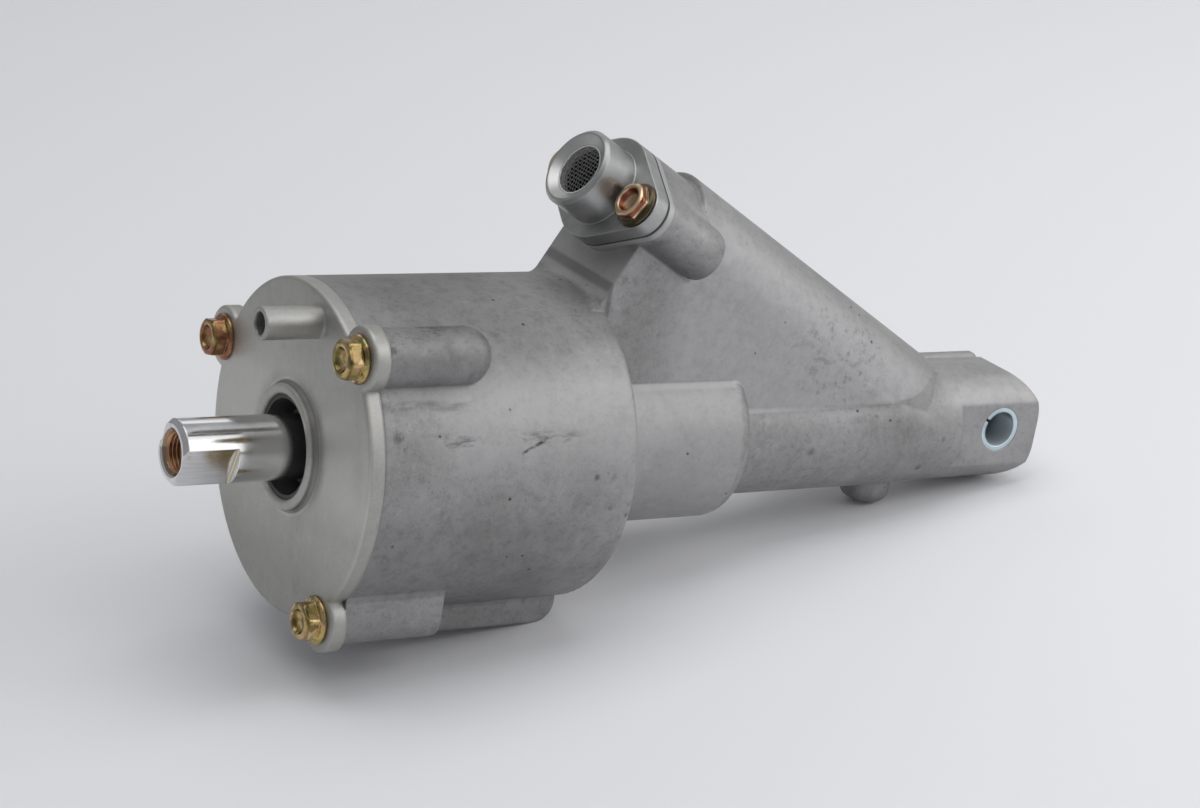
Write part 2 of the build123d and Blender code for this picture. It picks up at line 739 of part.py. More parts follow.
# Air fitting: tube, flange and the spigot that locates it in the valve bore
strainer_ring_outer = port_radius - static_clearance
strainer_ring_inner = strainer_ring_outer - strainer_ring_width
with BuildPart() as air_inlet_fitting:
    with BuildSketch(valve_section):
        with BuildLine():
            Polyline((0, port_mouth_radius), (0, fitting_radius - fitting_chamfer),
                     (fitting_chamfer, fitting_radius), (flange_back, fitting_radius),
                     (flange_back, valve_bore_radius - static_clearance),
                     (flange_back + fitting_spigot_length, valve_bore_radius - static_clearance),
                     (flange_back + fitting_spigot_length, fitting_passage_radius),
                     (valve_spring_start, fitting_passage_radius), (valve_spring_start, stem_hole_radius),
                     (port_depth, stem_hole_radius), (port_depth, strainer_ring_inner),
                     (strainer_seat_depth, strainer_ring_inner), (strainer_seat_depth, port_radius),
                     (port_mouth_depth, port_radius), close=True)
        make_face()
    revolve(axis=valve_axis)
    with BuildSketch(valve_plane(flange_depth)) as flange:
        add(flange_outline())
        Circle(fitting_radius - fitting_chamfer, mode=Mode.SUBTRACT)
    extrude(amount=flange_thickness)
    with BuildSketch(valve_plane(flange_depth)):
        with Locations(*screw_places):
            Circle(bolt_radius + bolt_clearance)
    extrude(amount=flange_thickness, mode=Mode.SUBTRACT)
    with BuildSketch(valve_plane(flange_depth - spot_face_height)):
        with Locations(*screw_places):
            Circle(bolt_flange_radius + wall_clearance)
    extrude(amount=spot_face_height, mode=Mode.SUBTRACT)
save(air_inlet_fitting, "air_inlet_fitting")

with BuildPart() as inlet_gasket:
    with BuildSketch(valve_plane(flange_back)):
        add(flange_outline())
        Circle(valve_bore_radius, mode=Mode.SUBTRACT)
        with Locations(*screw_places):
            Circle(bolt_radius + bolt_clearance, mode=Mode.SUBTRACT)
    extrude(amount=gasket_thickness)
save(inlet_gasket, "inlet_gasket")

with BuildPart() as inlet_screws:
    seat = valve_plane(flange_depth)
    for place in screw_places:
        add(flange_screw(Plane(origin=seat.from_local_coords(place), x_dir=seat.x_dir, z_dir=seat.z_dir),
                         flange_thickness + gasket_thickness + screw_grip, inlet_head_height))
save(inlet_screws, "inlet_screws")

# Strainer: a ring that sits on the shoulder just inside the port, with a domed skin
strainer_face = strainer_seat_depth - strainer_ring_height
strainer_top = strainer_face - strainer_dome
dome_radius = (strainer_ring_inner ** 2 + strainer_dome ** 2) / (2 * strainer_dome)
dome_centre = (strainer_top + dome_radius, 0)


def dome_angle(radius):
    """Half angle of the dome, for a sphere of this radius about its centre."""
    return degrees(asin(strainer_ring_inner / radius))


with BuildPart() as inlet_strainer:
    with BuildSketch(valve_section):
        with BuildLine():
            outside = CenterArc(dome_centre, dome_radius, 180 - dome_angle(dome_radius),
                                dome_angle(dome_radius))
            middle = Line(outside @ 1, (strainer_top + strainer_skin, 0))
            skin_radius = dome_radius - strainer_skin
            inside = CenterArc(dome_centre, skin_radius, 180, -dome_angle(skin_radius))
            Polyline(inside @ 1, (strainer_seat_depth, strainer_ring_inner),
                     (strainer_seat_depth, strainer_ring_outer),
                     (strainer_face, strainer_ring_outer), outside @ 0)
        make_face()
    revolve(axis=valve_axis)
save(inlet_strainer, "inlet_strainer")

# Inlet valve, its spring and its seat
seat_face = valve_disc_depth + valve_disc_thickness
inlet_valve = turned(valve_section, valve_axis, [
    (valve_disc_depth - valve_stem_length, 0), (valve_disc_depth - valve_stem_length, valve_stem_radius),
    (valve_disc_depth, valve_stem_radius), (valve_disc_depth, valve_disc_radius),
    (seat_face, valve_disc_radius), (seat_face, 0)])
save(inlet_valve, "inlet_valve")
valve_seat = valve_ring(seat_face, seat_face + seat_thickness, seat_hole_radius,
                        valve_bore_radius - static_clearance)
save(valve_seat, "valve_seat")
inlet_valve_spring = coil_spring(valve_plane(valve_spring_start), valve_spring_radius, valve_spring_wire / 2,
                                 valve_disc_depth - valve_spring_start, valve_spring_turns)
save(inlet_valve_spring, "inlet_valve_spring")

# Relay piston with its hollow stem, its seal and its spring
relay_outer = valve_bore_radius - running_clearance
seal_start = relay_head_depth + (relay_head_thickness - relay_seal_width) / 2
relay_piston = turned(valve_section, valve_axis, [
    (seat_face + exhaust_gap, exhaust_radius), (seat_face + exhaust_gap, relay_stem_radius),
    (relay_head_depth, relay_stem_radius), (relay_head_depth, relay_outer), (seal_start, relay_outer),
    (seal_start, relay_outer - relay_seal_height),
    (seal_start + relay_seal_width, relay_outer - relay_seal_height),
    (seal_start + relay_seal_width, relay_outer), (relay_head_end, relay_outer), (relay_head_end, 0),
    (relay_head_depth, 0), (relay_head_depth, exhaust_radius)])
save(relay_piston, "relay_piston")
relay_piston_seal = valve_ring(seal_start, seal_start + relay_seal_width,
                               relay_outer - relay_seal_height + static_clearance, relay_outer)
save(relay_piston_seal, "relay_piston_seal")
seat_back = seat_face + seat_thickness
relay_spring = coil_spring(valve_plane(seat_back), relay_spring_radius, relay_spring_wire / 2,
                           relay_head_depth - seat_back, relay_spring_turns)
save(relay_spring, "relay_spring")

# Pilot plunger and its cup
pilot_outer = pilot_radius - running_clearance
pilot_plunger = turned(valve_section, valve_axis, [
    (relay_head_end, 0), (relay_head_end, pilot_outer), (pilot_end, pilot_outer), (pilot_end, 0)])
save(pilot_plunger, "pilot_plunger")
pilot_cup_seal = turned(valve_section, valve_axis, [
    (pilot_end, 0), (pilot_end, pilot_outer), (pilot_end + pilot_cup_length, pilot_outer),
    (pilot_end + pilot_cup_length, pilot_outer - cup_lip), (pilot_end + cup_lip, pilot_outer - 2 * cup_lip),
    (pilot_end + cup_lip, 0)])
save(pilot_cup_seal, "pilot_cup_seal")

# Bleed screw with its rubber cap, on the far side of the valve housing
bleed_section = Plane(origin=(bleed_place.X, bleed_boss_reach, bleed_place.Z), x_dir=(0, 1, 0),
                      z_dir=(0, 0, 1))
bleed_axis = Axis((bleed_place.X, 0, bleed_place.Z), (0, 1, 0))
bleed_tip = bleed_hex_height + bleed_nipple_length
with BuildPart() as bleed_screw:
    with BuildSketch(bleed_section):
        with BuildLine():
            Polyline((-bleed_thread_depth, bleed_bore_radius),
                     (bleed_thread_radius - bleed_thread_depth, bleed_thread_radius - static_clearance),
                     (bleed_hex_height, bleed_thread_radius - static_clearance),
                     (bleed_hex_height, bleed_nipple_radius),
                     (bleed_tip - bleed_tip_taper, bleed_nipple_radius),
                     (bleed_tip, bleed_nipple_radius - bleed_tip_taper),
                     (bleed_tip, bleed_bore_radius), close=True)
        make_face()
    revolve(axis=bleed_axis)
    with BuildSketch(Plane.XZ.offset(-bleed_boss_reach)):
        with Locations((bleed_place.X, bleed_place.Z)):
            hexagon(bleed_hex)
            Circle(bleed_nipple_radius, mode=Mode.SUBTRACT)
    extrude(amount=-bleed_hex_height)
save(bleed_screw, "bleed_screw")
bleed_cap = turned(bleed_section, bleed_axis, [
    (bleed_hex_height, bleed_nipple_radius + bleed_cap_clearance), (bleed_hex_height, bleed_cap_radius),
    (bleed_tip + bleed_cap_wall, bleed_cap_radius), (bleed_tip + bleed_cap_wall, 0), (bleed_tip, 0),
    (bleed_tip, bleed_nipple_radius + bleed_cap_clearance)])
save(bleed_cap, "bleed_cap")
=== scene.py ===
# %% [markdown]
# # A clutch servo, dressed around its CAD frame
# The object is an air-assisted clutch servo: a sand-cast aluminium body with a round cover, a chromed push
# rod, an air fitting on a slanted housing and a pivot eye at the tail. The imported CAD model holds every
# size and every moving piece. This script only gives it looks, so it starts by loading that frame. Sizes of
# the servo are written in millimetres, from the middle of the eye, and MM turns them into Blender's metres.

# %% Load the frame
import json
import math
import bpy
import bmesh
from mathutils import Matrix, Vector

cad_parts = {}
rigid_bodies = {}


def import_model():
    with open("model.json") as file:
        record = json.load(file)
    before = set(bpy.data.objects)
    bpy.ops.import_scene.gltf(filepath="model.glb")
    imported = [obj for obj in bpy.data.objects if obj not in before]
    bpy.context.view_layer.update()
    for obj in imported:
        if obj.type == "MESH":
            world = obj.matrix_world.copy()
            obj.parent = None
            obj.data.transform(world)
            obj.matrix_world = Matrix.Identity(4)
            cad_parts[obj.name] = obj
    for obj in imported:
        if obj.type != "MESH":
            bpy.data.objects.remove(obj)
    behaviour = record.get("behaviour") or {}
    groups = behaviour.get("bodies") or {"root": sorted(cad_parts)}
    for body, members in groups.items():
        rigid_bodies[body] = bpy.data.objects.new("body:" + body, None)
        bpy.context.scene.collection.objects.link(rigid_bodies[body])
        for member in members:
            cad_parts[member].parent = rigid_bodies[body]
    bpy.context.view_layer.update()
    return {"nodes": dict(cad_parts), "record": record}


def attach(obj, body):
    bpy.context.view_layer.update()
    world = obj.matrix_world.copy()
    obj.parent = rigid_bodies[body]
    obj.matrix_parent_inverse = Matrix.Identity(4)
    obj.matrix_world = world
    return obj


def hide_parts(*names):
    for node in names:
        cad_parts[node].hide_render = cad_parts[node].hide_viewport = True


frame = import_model()
nodes = frame["nodes"]
scene = bpy.context.scene
MM = 0.001
IN_MM = 1000.0
print("CAD nodes:", len(nodes))

# %% [markdown]
# ## The camera
# The photograph was taken with a long lens from the front and a little above. The camera's axes and its
# place were solved from the round edges of the casting, so they are written here as plain vectors.
# A camera looks down its own -Z, so its matrix has the image's right, the image's up and the way back.

# %% Camera
IMAGE_WIDTH = 1200
FOCAL_PIXELS = 2929.0
SENSOR = 36.0


def added(name, data):
    """A new object in the scene."""
    made = bpy.data.objects.new(name, data)
    scene.collection.objects.link(made)
    return made


def turned_to(right, up, back, place):
    """Matrix of an object with these three axes at this place."""
    return Matrix([(right[i], up[i], back[i], place[i]) for i in range(3)] + [(0, 0, 0, 1)])


image_right = Vector((0.8387, -0.5212, 0.1580)).normalized()
way_back = Vector((-0.5432, -0.7807, 0.3090)).normalized()
image_up = way_back.cross(image_right)
camera_place = Vector((-776.3, -854.9, 349.0)) * MM
camera = added("camera", bpy.data.cameras.new("camera"))
camera.matrix_world = turned_to(image_right, image_up, way_back, camera_place)
camera.data.sensor_width = SENSOR
camera.data.lens = FOCAL_PIXELS / IMAGE_WIDTH * SENSOR
camera.data.clip_start = 0.05
camera.data.clip_end = 50
scene.camera = camera
print("lens", round(camera.data.lens, 1), "mm")

# %% [markdown]
# ## The floor
# The servo isn't standing level: it rests on the rear edge of its foot and on the nub under the tail, and
# both edges are rounded. The floor is the plane that touches both rounds, so its tilt is that of a common
# tangent of two circles: the tilt of the line between their centres, plus a little for the larger one.

# %% Floor
COVER = 310.0
FOOT_END, FOOT_BOTTOM, FOOT_ROUND = 104.0, -64.0, 8.0
NUB_START, NUB_BOTTOM, NUB_ROUND = 263.0, -34.5, 5.0
MIDDLE, FLOOR_SIZE = -0.11, 6.0
foot_edge = Vector((FOOT_END - FOOT_ROUND - COVER, FOOT_BOTTOM + FOOT_ROUND))
nub_edge = Vector((NUB_START + NUB_ROUND - COVER, NUB_BOTTOM + NUB_ROUND))
apart = nub_edge - foot_edge
floor_tilt = math.atan2(apart.y, apart.x) + math.asin((FOOT_ROUND - NUB_ROUND) / apart.length)
floor_normal = Vector((-math.sin(floor_tilt), 0, math.cos(floor_tilt)))
floor_length = Vector((math.cos(floor_tilt), 0, math.sin(floor_tilt)))
floor_point = (Vector((nub_edge.x, 0, nub_edge.y)) - floor_normal * NUB_ROUND) * MM


def over_floor(along, across, height):
    """A point given along and across the floor and above it, from the middle of the servo, in metres."""
    middle = floor_point + floor_length * MIDDLE
    return middle + floor_length * along + Vector((0, across, 0)) + floor_normal * height


floor_mesh = bpy.data.meshes.new("floor")
corners = [over_floor(a * FLOOR_SIZE, b * FLOOR_SIZE, 0) for a, b in ((-1, -1), (1, -1), (1, 1), (-1, 1))]
floor_mesh.from_pydata(corners, [], [(0, 1, 2, 3)])
floor = added("floor", floor_mesh)
print("floor tilt", round(math.degrees(floor_tilt), 2), "degrees")

# %% [markdown]
# ## Node maths as expressions
# A finish is mostly arithmetic on a few noises: this much stain, minus that much wear. So is a shape that
# follows a rule, such as a thread. Math nodes placed by hand are hard to read, so a small class wraps one
# output and turns Python's operators into Math nodes. Two smooth steps make a zone with soft ends.


# %% Socket arithmetic
class Wave:
    """One number that varies over a surface. Sums and products of it add Math nodes."""

    def __init__(self, graph, socket):
        self.graph, self.socket = graph, socket

    def math(self, operation, *others):
        sockets = dict(enumerate((self, *others)))
        made = self.graph.node("ShaderNodeMath", sockets, operation=operation)
        return Wave(self.graph, made.outputs[0])

    def __add__(self, other):
        return self.math("ADD", other)

    def __radd__(self, other):
        return self + other

    def __mul__(self, other):
        return self.math("MULTIPLY", other)

    def __sub__(self, other):
        return self.math("SUBTRACT", other)

    def __rsub__(self, other):
        return self * -1.0 + other

    def __truediv__(self, other):
        return self.math("DIVIDE", other)

    def above(self, low, high):
        """0 below low, 1 above high, and a smooth step between them."""
        sockets = {"Value": self, "From Min": low, "From Max": high}
        spread = self.graph.node("ShaderNodeMapRange", sockets, interpolation_type="SMOOTHSTEP")
        return Wave(self.graph, spread.outputs["Result"])

    def below(self, low, high):
        """1 below low, 0 above high."""
        return 1 - self.above(low, high)

    def between(self, start, full, fading, end):
        """A zone: it starts, is full, begins to fade and ends at these four values."""
        return self.above(start, full) * self.below(fading, end)


# %% [markdown]
# ## Node trees
# The second class holds a node tree, for a shader or for geometry, and makes any node in it with one call:
# its kind, what goes into its sockets, and its settings. A value is set on a socket and an output is linked
# to it, and both are written the same way.


# %% Any node tree
class Graph:
    """A node tree, and a method that makes any node in it."""

    def __init__(self, tree):
        self.nodes, self.links = tree.nodes, tree.links

    def node(self, kind, sockets=None, **settings):
        made = self.nodes.new(kind)
        for key, value in settings.items():
            setattr(made, key, value)
        for key, value in (sockets or {}).items():
            self.plug(made.inputs[key], value)
        return made

    def plug(self, socket, value):
        """Link an output to the socket, or set the socket's own value."""
        value = getattr(value, "socket", value)
        if isinstance(value, bpy.types.NodeSocket):
            self.links.new(value, socket)
        elif hasattr(value, "__len__") and len(value) == 3 and socket.type == "RGBA":
            socket.default_value = (*value, 1)
        else:
            socket.default_value = value

    def parts(self, vector):
        """The three numbers of a vector."""
        split = self.node("ShaderNodeSeparateXYZ", {0: vector})
        return [Wave(self, output) for output in split.outputs]

    def vector(self, x, y, z):
        return self.node("ShaderNodeCombineXYZ", {0: x, 1: y, 2: z}).outputs[0]

    def along(self, vector, way):
        """How far a vector reaches along a direction."""
        product = self.node("ShaderNodeVectorMath", {0: vector, 1: way}, operation="DOT_PRODUCT")
        return Wave(self, product.outputs["Value"])


# %% [markdown]
# ## A material as a node tree
# Every finish here is a Principled shader with procedural noise on the object's own coordinates. A stain
# stays at its place on the casting from every side, and nothing needs to be unwrapped. This class adds the
# few textures that the finishes share.


# %% Materials
class Finish(Graph):
    """A material with its Principled shader, and the noises that a finish needs."""

    def __init__(self, name):
        self.material = bpy.data.materials.new(name)
        self.material.use_nodes = True
        super().__init__(self.material.node_tree)
        self.shader = self.nodes["Principled BSDF"]
        self.place = self.node("ShaderNodeTexCoord").outputs["Object"]

    def mapped(self, scale, turn=(0, 0, 0)):
        """The surface's place in metres, stretched and turned."""
        sockets = {"Vector": self.place, "Scale": scale, "Rotation": turn}
        return self.node("ShaderNodeMapping", sockets).outputs["Vector"]

    def noise(self, scale, detail=3.0, roughness=0.5, place=None, distortion=0.0):
        found = self.node("ShaderNodeTexNoise",
                          {"Vector": place or self.place, "Scale": scale, "Detail": detail,
                           "Roughness": roughness, "Distortion": distortion})
        return Wave(self, found.outputs["Fac"])

    def cells(self, scale):
        """Distance to the nearest of many scattered points."""
        found = self.node("ShaderNodeTexVoronoi", {"Vector": self.place, "Scale": scale}, feature="F1")
        return Wave(self, found.outputs["Distance"])

    def millimetres(self):
        """The surface's place as three numbers in mm."""
        return [part * IN_MM for part in self.parts(self.place)]

    def off_axis(self, first, second):
        """How far off an axis: the length of these two numbers."""
        return (first * first + second * second).math("SQRT")

    def near(self, where, radius):
        """1 at a place in mm, falling to 0 at this radius."""
        ends = {0: self.place, 1: tuple(v * MM for v in where)}
        gap = self.node("ShaderNodeVectorMath", ends, operation="DISTANCE")
        return Wave(self, gap.outputs["Value"]).below(radius * 0.25 * MM, radius * MM)

    def mix(self, amount, first, second):
        """Colour mix of two colours or colour sockets."""
        sockets = {0: amount, 6: first, 7: second}
        return self.node("ShaderNodeMix", sockets, data_type="RGBA", clamp_factor=True).outputs[2]

    def ramp(self, amount, stops):
        """Colours along an amount, as stops with a place and a colour."""
        made = self.node("ShaderNodeValToRGB", {"Fac": amount})
        elements = made.color_ramp.elements
        while len(elements) < len(stops):
            elements.new(0.5)
        for element, (where, colour) in zip(elements, stops):
            element.position = where
            element.color = (*colour, 1)
        return made.outputs["Color"]

    def layered(self, colour, layers):
        """A colour with tinted layers over it, each given by its mask and its tint."""
        for mask, tint in layers:
            colour = self.mix(mask, colour, tint)
        return colour

    def edges(self, radius):
        """Normals rounded at the edges, and a mask that is 1 on an edge."""
        bevel = self.node("ShaderNodeBevel", {"Radius": radius}, samples=4)
        plain = self.node("ShaderNodeNewGeometry").outputs["Normal"]
        return bevel.outputs["Normal"], self.along(bevel.outputs["Normal"], plain).below(0.86, 0.995)

    def bump(self, height, distance, normal=None, strength=1.0):
        sockets = {"Height": height, "Distance": distance, "Strength": strength}
        if normal:
            sockets["Normal"] = normal
        return self.node("ShaderNodeBump", sockets).outputs["Normal"]

    def wear(self, **sockets):
        """Plug the shader's own sockets; underscores stand for spaces."""
        for key, value in sockets.items():
            self.plug(self.shader.inputs[key.replace("_", " ")], value)
        return self.material


print("shader helpers ready")

# %% [markdown]
# ## Sand-cast aluminium
# The body came out of a sand mould and was shot-blasted: a dull grey skin with a grain of about half a
# millimetre, cloudy stains where the metal cooled unevenly, and a few small pits. The colour is built up as
# a painter would do it: a cloudy ground, then stains and specks, then marks of use with painted light and
# painted shade, and last the rims, lightened partly as wear and partly as a painted highlight, and the pits.
# Rims are found with a Bevel node, whose normals differ from the true ones only near an edge. The same
# noises make the bump, so a dark pit is also deep.


# %% Casting finish
def shade(colour, amount):
    """The colour made darker or lighter."""
    return tuple(min(1.0, part * amount) for part in colour)


def casting(name, pale, dark, rounding, tone_masks, stain=1.0, grain=1.0, pits=1.0, dull=0.46):
    """Sand-cast skin. The caller's function gives two masks: where it is darker, from real marks and painted
    shade, and where lighter, from real marks and painted light.
    """
    f = Finish(name)
    clouds, mottle, blotches = f.noise(24, 6, 0.62), f.noise(170, 5, 0.68), f.noise(95, 6, 0.72)
    grains, skin, dents = f.noise(1500, 2, 0.6), f.noise(430, 3, 0.62), f.noise(120, 3, 0.55)
    speckled = f.noise(14, 3, 0.5, f.mapped((1, 1, 1), (0.4, 0.2, 0.1))).above(0.50, 0.66)
    specks = f.noise(330, 4, 0.75).above(0.58, 0.74) * (speckled * 0.85 + 0.15)
    holes = f.cells(150).below(0.05, 0.13) * f.noise(60, 1).above(0.56, 0.63)
    normal, edge_wear_and_highlight = f.edges(rounding * MM)
    darker, lighter = tone_masks(f)
    deep, dark_dirt_and_shade, bright = shade(dark, 0.50), shade(dark, 0.22), shade(pale, 1.30)
    colour = f.layered(f.mix(clouds.above(0.32, 0.68), dark, pale), [
        (mottle.below(0.32, 0.52) * 0.28 * stain, deep),
        (mottle.above(0.54, 0.72) * 0.30, bright),
        (grains.above(0.40, 0.72) * 0.20, bright),
        (skin.below(0.32, 0.48) * 0.22 * grain, deep),
        (blotches.above(0.57, 0.68) * 0.26 * stain, deep),
        (specks * 0.42 * stain, dark_dirt_and_shade),
        # Darker layer: dirt and painted shade. Lighter layer: real bright marks and painted light.
        (lighter, bright),
        (darker, dark_dirt_and_shade),
        # Rims lightened partly as wear and partly as a painted highlight.
        (edge_wear_and_highlight * 0.30, bright),
        (holes * 0.85 * pits, dark_dirt_and_shade)])
    rough = dull + clouds * 0.16 + grains * 0.10 - edge_wear_and_highlight * 0.08
    height = grains * 0.30 * grain + skin * 0.60 * grain + dents * 0.55 - holes * 1.8 * pits - specks * 0.3
    return f.wear(Base_Color=colour, Metallic=0.80, Roughness=rough,
                  Normal=f.bump(height, 0.17 * MM, normal, 0.8))


print("casting finish ready")

# %% [markdown]
# ## Two frames for the marks
# A mark is easiest to place by what it lies on. Most of the body is round about the rod, so its marks use
# x, y, z and the distance from the rod's axis. The valve housing is slanted, so its marks use a second
# frame with its origin in the fitting's mouth: depth down the valve's axis, and height above that axis.

# %% The valve's own frame
VALVE_TILT = math.radians(30.3)
valve_mouth = Vector((-209.3, 0, 102.9))
valve_down = Vector((math.cos(VALVE_TILT), 0, -math.sin(VALVE_TILT)))
valve_up = Vector((math.sin(VALVE_TILT), 0, math.cos(VALVE_TILT)))
across = Vector((0, 1, 0))


def in_valve_frame(f):
    """Depth down the valve's axis and height above it, in mm."""
    return [f.along(f.place, way) * IN_MM - valve_mouth.dot(way) for way in (valve_down, valve_up)]


print("valve axis falls", round(math.degrees(VALVE_TILT), 1), "degrees")

# %% [markdown]
# ## Dirt, wear and painted shade on the casting
# A real casting isn't evenly dirty. This one has a broken dark line along the cylinder, where it lay
# against something, scuffs on top of the near bolt boss, a speckled patch on the web and pits near the eye.
# Painted shade darkens the underside of the near screw boss, the upper front of the cylinder and the
# cylinder's low side. Each is a zone in millimetres, broken up by a noise so that it has no drawn outline.

# %% Dark marks and painted shade on the body
CYLINDER_RADIUS, NECK_RADIUS, TAIL_RADIUS, NECK_END = 60.0, 34.5, 26.9, -139.0
BOSS = dict(radius=10.6, middle=49.5, end=54.5, side=23.5)
PITS = [(-98.9, -25.4, -2.5, 2.6), (-31.8, -23, -1.4, 1.8), (-30, -22.5, 11.2, 2.2),
        (-39.8, -21.5, -13.7, 2.0), (-17.4, -12.1, 22.5, 1.8), (-211, -59.7, 6.4, 1.6),
        (-218.8, -59.6, 6.6, 1.5), (-211, -59.7, -5.5, 1.3), (-203.4, -59.3, -8.9, 1.3),
        (-298.8, -55.2, 23.6, 2.8)]


def near_cylinder(f):
    """The near side of the cylinder's round wall, without what stands on it."""
    _, y, z = f.millimetres()
    wall = f.off_axis(y, z).between(CYLINDER_RADIUS - 1.5, CYLINDER_RADIUS - 0.8,
                                    CYLINDER_RADIUS + 1, CYLINDER_RADIUS + 2)
    return wall * y.below(-20, -12)


def dark_marks_and_painted_shade(f):
    x, y, z = f.millimetres()
    depth, height = in_valve_frame(f)
    from_rod, near_side = f.off_axis(y, z), y.below(-20, -12)
    streaky = f.noise(55, 5, 0.75, f.mapped((0.35, 1, 1)))
    fine = f.noise(260, 4, 0.75)
    wavy = z + (f.noise(22, 3, 0.5) - 0.5) * 12
    rub = wavy.between(17, 20.5, 22, 25.5) * x.below(-232, -222) * streaky.above(0.50, 0.62) * 0.62
    smear = wavy.between(30, 31.5, 33, 34.5) * x.below(-276, -262) * streaky.above(0.47, 0.60) * 0.35
    slanted = (z - x * 0.42 - 121.5).math("ABSOLUTE").below(0.25, 0.9)
    scratch = slanted * x.between(-251, -249, -241, -239) * fine.above(0.35, 0.55) * 0.75
    # Painted shade on the low side of the cylinder.
    painted_shade_below = wavy.below(-14, 0) * x.below(-235, -205) * 0.24
    on_boss = z.above(49.0, 51.0) * x.below(-266, -262) * y.below(-41, -38) * from_rod.above(62, 64)
    scuffs = on_boss * f.noise(130, 5, 0.75, f.mapped((0.5, 1, 1))).above(0.53, 0.64) * 0.45
    on_web = f.near((-88, -22.5, 38), 40) * y.above(-24, -23) * near_side
    patch = on_web * fine.below(0.32, 0.50) * 0.34
    # Painted shade on the upper front of the cylinder.
    front_shade = x.below(-250, -215) * z.above(28, 50) * from_rod.above(58, 59) * 0.26
    pits = sum(f.near(pit[:3], pit[3] * 1.15) * fine.above(0.34, 0.56) * 0.62 for pit in PITS)
    brown_rim = x.between(-202.2, -201.2, -200.2, -199.4) * from_rod.above(56.5, 58.0) * 0.45
    # Painted shade on the underside of the near screw boss and the web just below it.
    on_screw_boss = f.off_axis(y + BOSS["side"], height).below(11.0, 11.8) * near_side
    painted_boss_shade = on_screw_boss * height.below(-7, 1) * depth.between(25.2, 28, 54.8, 56) * 0.34
    on_cylinder = (rub + smear + scratch + painted_shade_below) * near_cylinder(f)
    return on_cylinder + scuffs + patch + front_shade + pits + brown_rim + painted_boss_shade


print("dark marks:", len(PITS), "pits and nine zones")

# %% [markdown]
# ## Where the casting is bright, and where it is painted light
# The rim under the gasket was machined, and a faint parting line from the mould runs along the top. Where
# the web meets a round wall, a thin painted highlight follows the junction. The web, the ridge's top, the
# neck, the web's front and the top of the eye get painted light, and the cylinder's side a painted
# highlight. The painted light on the web, the ridge and the eye keeps a mottled skin.


# %% Bright marks and painted light on the body
def bright_marks_and_painted_light(f):
    x, y, z = f.millimetres()
    depth, height = in_valve_frame(f)
    from_rod, off_middle, near_side = f.off_axis(y, z), y.math("ABSOLUTE"), y.below(-20, -12)
    mottled = f.noise(210, 4, 0.8).above(0.34, 0.66) * 0.36 + 0.64
    behind_neck = x.above(NECK_END - 0.5, NECK_END + 0.5)
    clear_of_neck, clear_of_tail = from_rod.above(34.9, 35.4), from_rod.above(27.0, 27.4)
    clear_of_rounds = clear_of_tail * behind_neck + clear_of_neck * (1 - behind_neck)
    machined = depth.between(21.8, 22.2, 24.8, 25.2) * height.above(-32, -30) * 0.95
    web = off_middle.between(13, 22.3, 22.8, 23.2) * x.between(-185, -160, -50, -30) * clear_of_rounds
    web_front = z.above(58.8, 60.3) * off_middle.below(21.9, 22.3)
    web_front = web_front * depth.above(19, 21) * height.below(-16, -12)
    neck = from_rod.between(NECK_RADIUS - 0.6, NECK_RADIUS - 0.2, 34.7, 35.2) * near_side
    neck = neck * x.between(-200, -198, NECK_END, NECK_END + 2)

    # Painted highlights along the web's junctions with the neck and the tail tube.
    def junction_highlight(radius, heights, ends):
        return from_rod.above(radius - 0.4, radius - 0.1) * z.between(*heights) * x.between(*ends)

    neck_junction_highlight = junction_highlight(NECK_RADIUS, (24.2, 25.0, 26.3, 27.0), (-200, -198, NECK_END, NECK_END + 3))
    tail_junction_highlight = junction_highlight(TAIL_RADIUS, (12.8, 13.6, 15.0, 15.6), (-132, -128, -62, -52))
    parting = off_middle.below(0.3, 0.9) * height.above(22, 23) * depth.above(56, 58)
    # Painted highlight along the middle of the cylinder's near side.
    painted_side_highlight = x.between(-296, -268, -205, -200) * z.between(0, 20, 34, 50) * near_cylinder(f)
    eye_top = x.above(-32, -26) * z.above(9, 14)
    ridge_top = height.above(-3, 4) * depth.above(52, 60)
    # Painted light on the web, the top of the eye, the ridge's top, the web's front and the neck.
    painted_light = (web * 0.72 + eye_top * 0.52 + ridge_top * 0.34) * mottled + web_front * 0.60 + neck * 0.38
    # Painted junction highlights, and the real parting line along the top.
    highlights_and_parting_line = (neck_junction_highlight * 0.30 + tail_junction_highlight * 0.50) * near_side + parting * 0.14
    return machined + painted_light + highlights_and_parting_line + painted_side_highlight * 0.45


body_casting = casting("sand cast aluminium", pale=(0.370, 0.362, 0.365), dark=(0.270, 0.266, 0.265),
                       rounding=1.8, tone_masks=lambda f: (dark_marks_and_painted_shade(f), bright_marks_and_painted_light(f)))
print("body:", body_casting.name)

# %% [markdown]
# ## The cover's casting
# The cover came from a smoother mould, so it is the same finish with less grain, fewer stains and hardly
# any pits. It is darker in the groove round the collar, and dirt sits along the rim. The middle of its face
# gets painted light, and its top and foot painted shade.

# %% Marks and painted light on the cover
COLLAR_RADIUS = 22.6


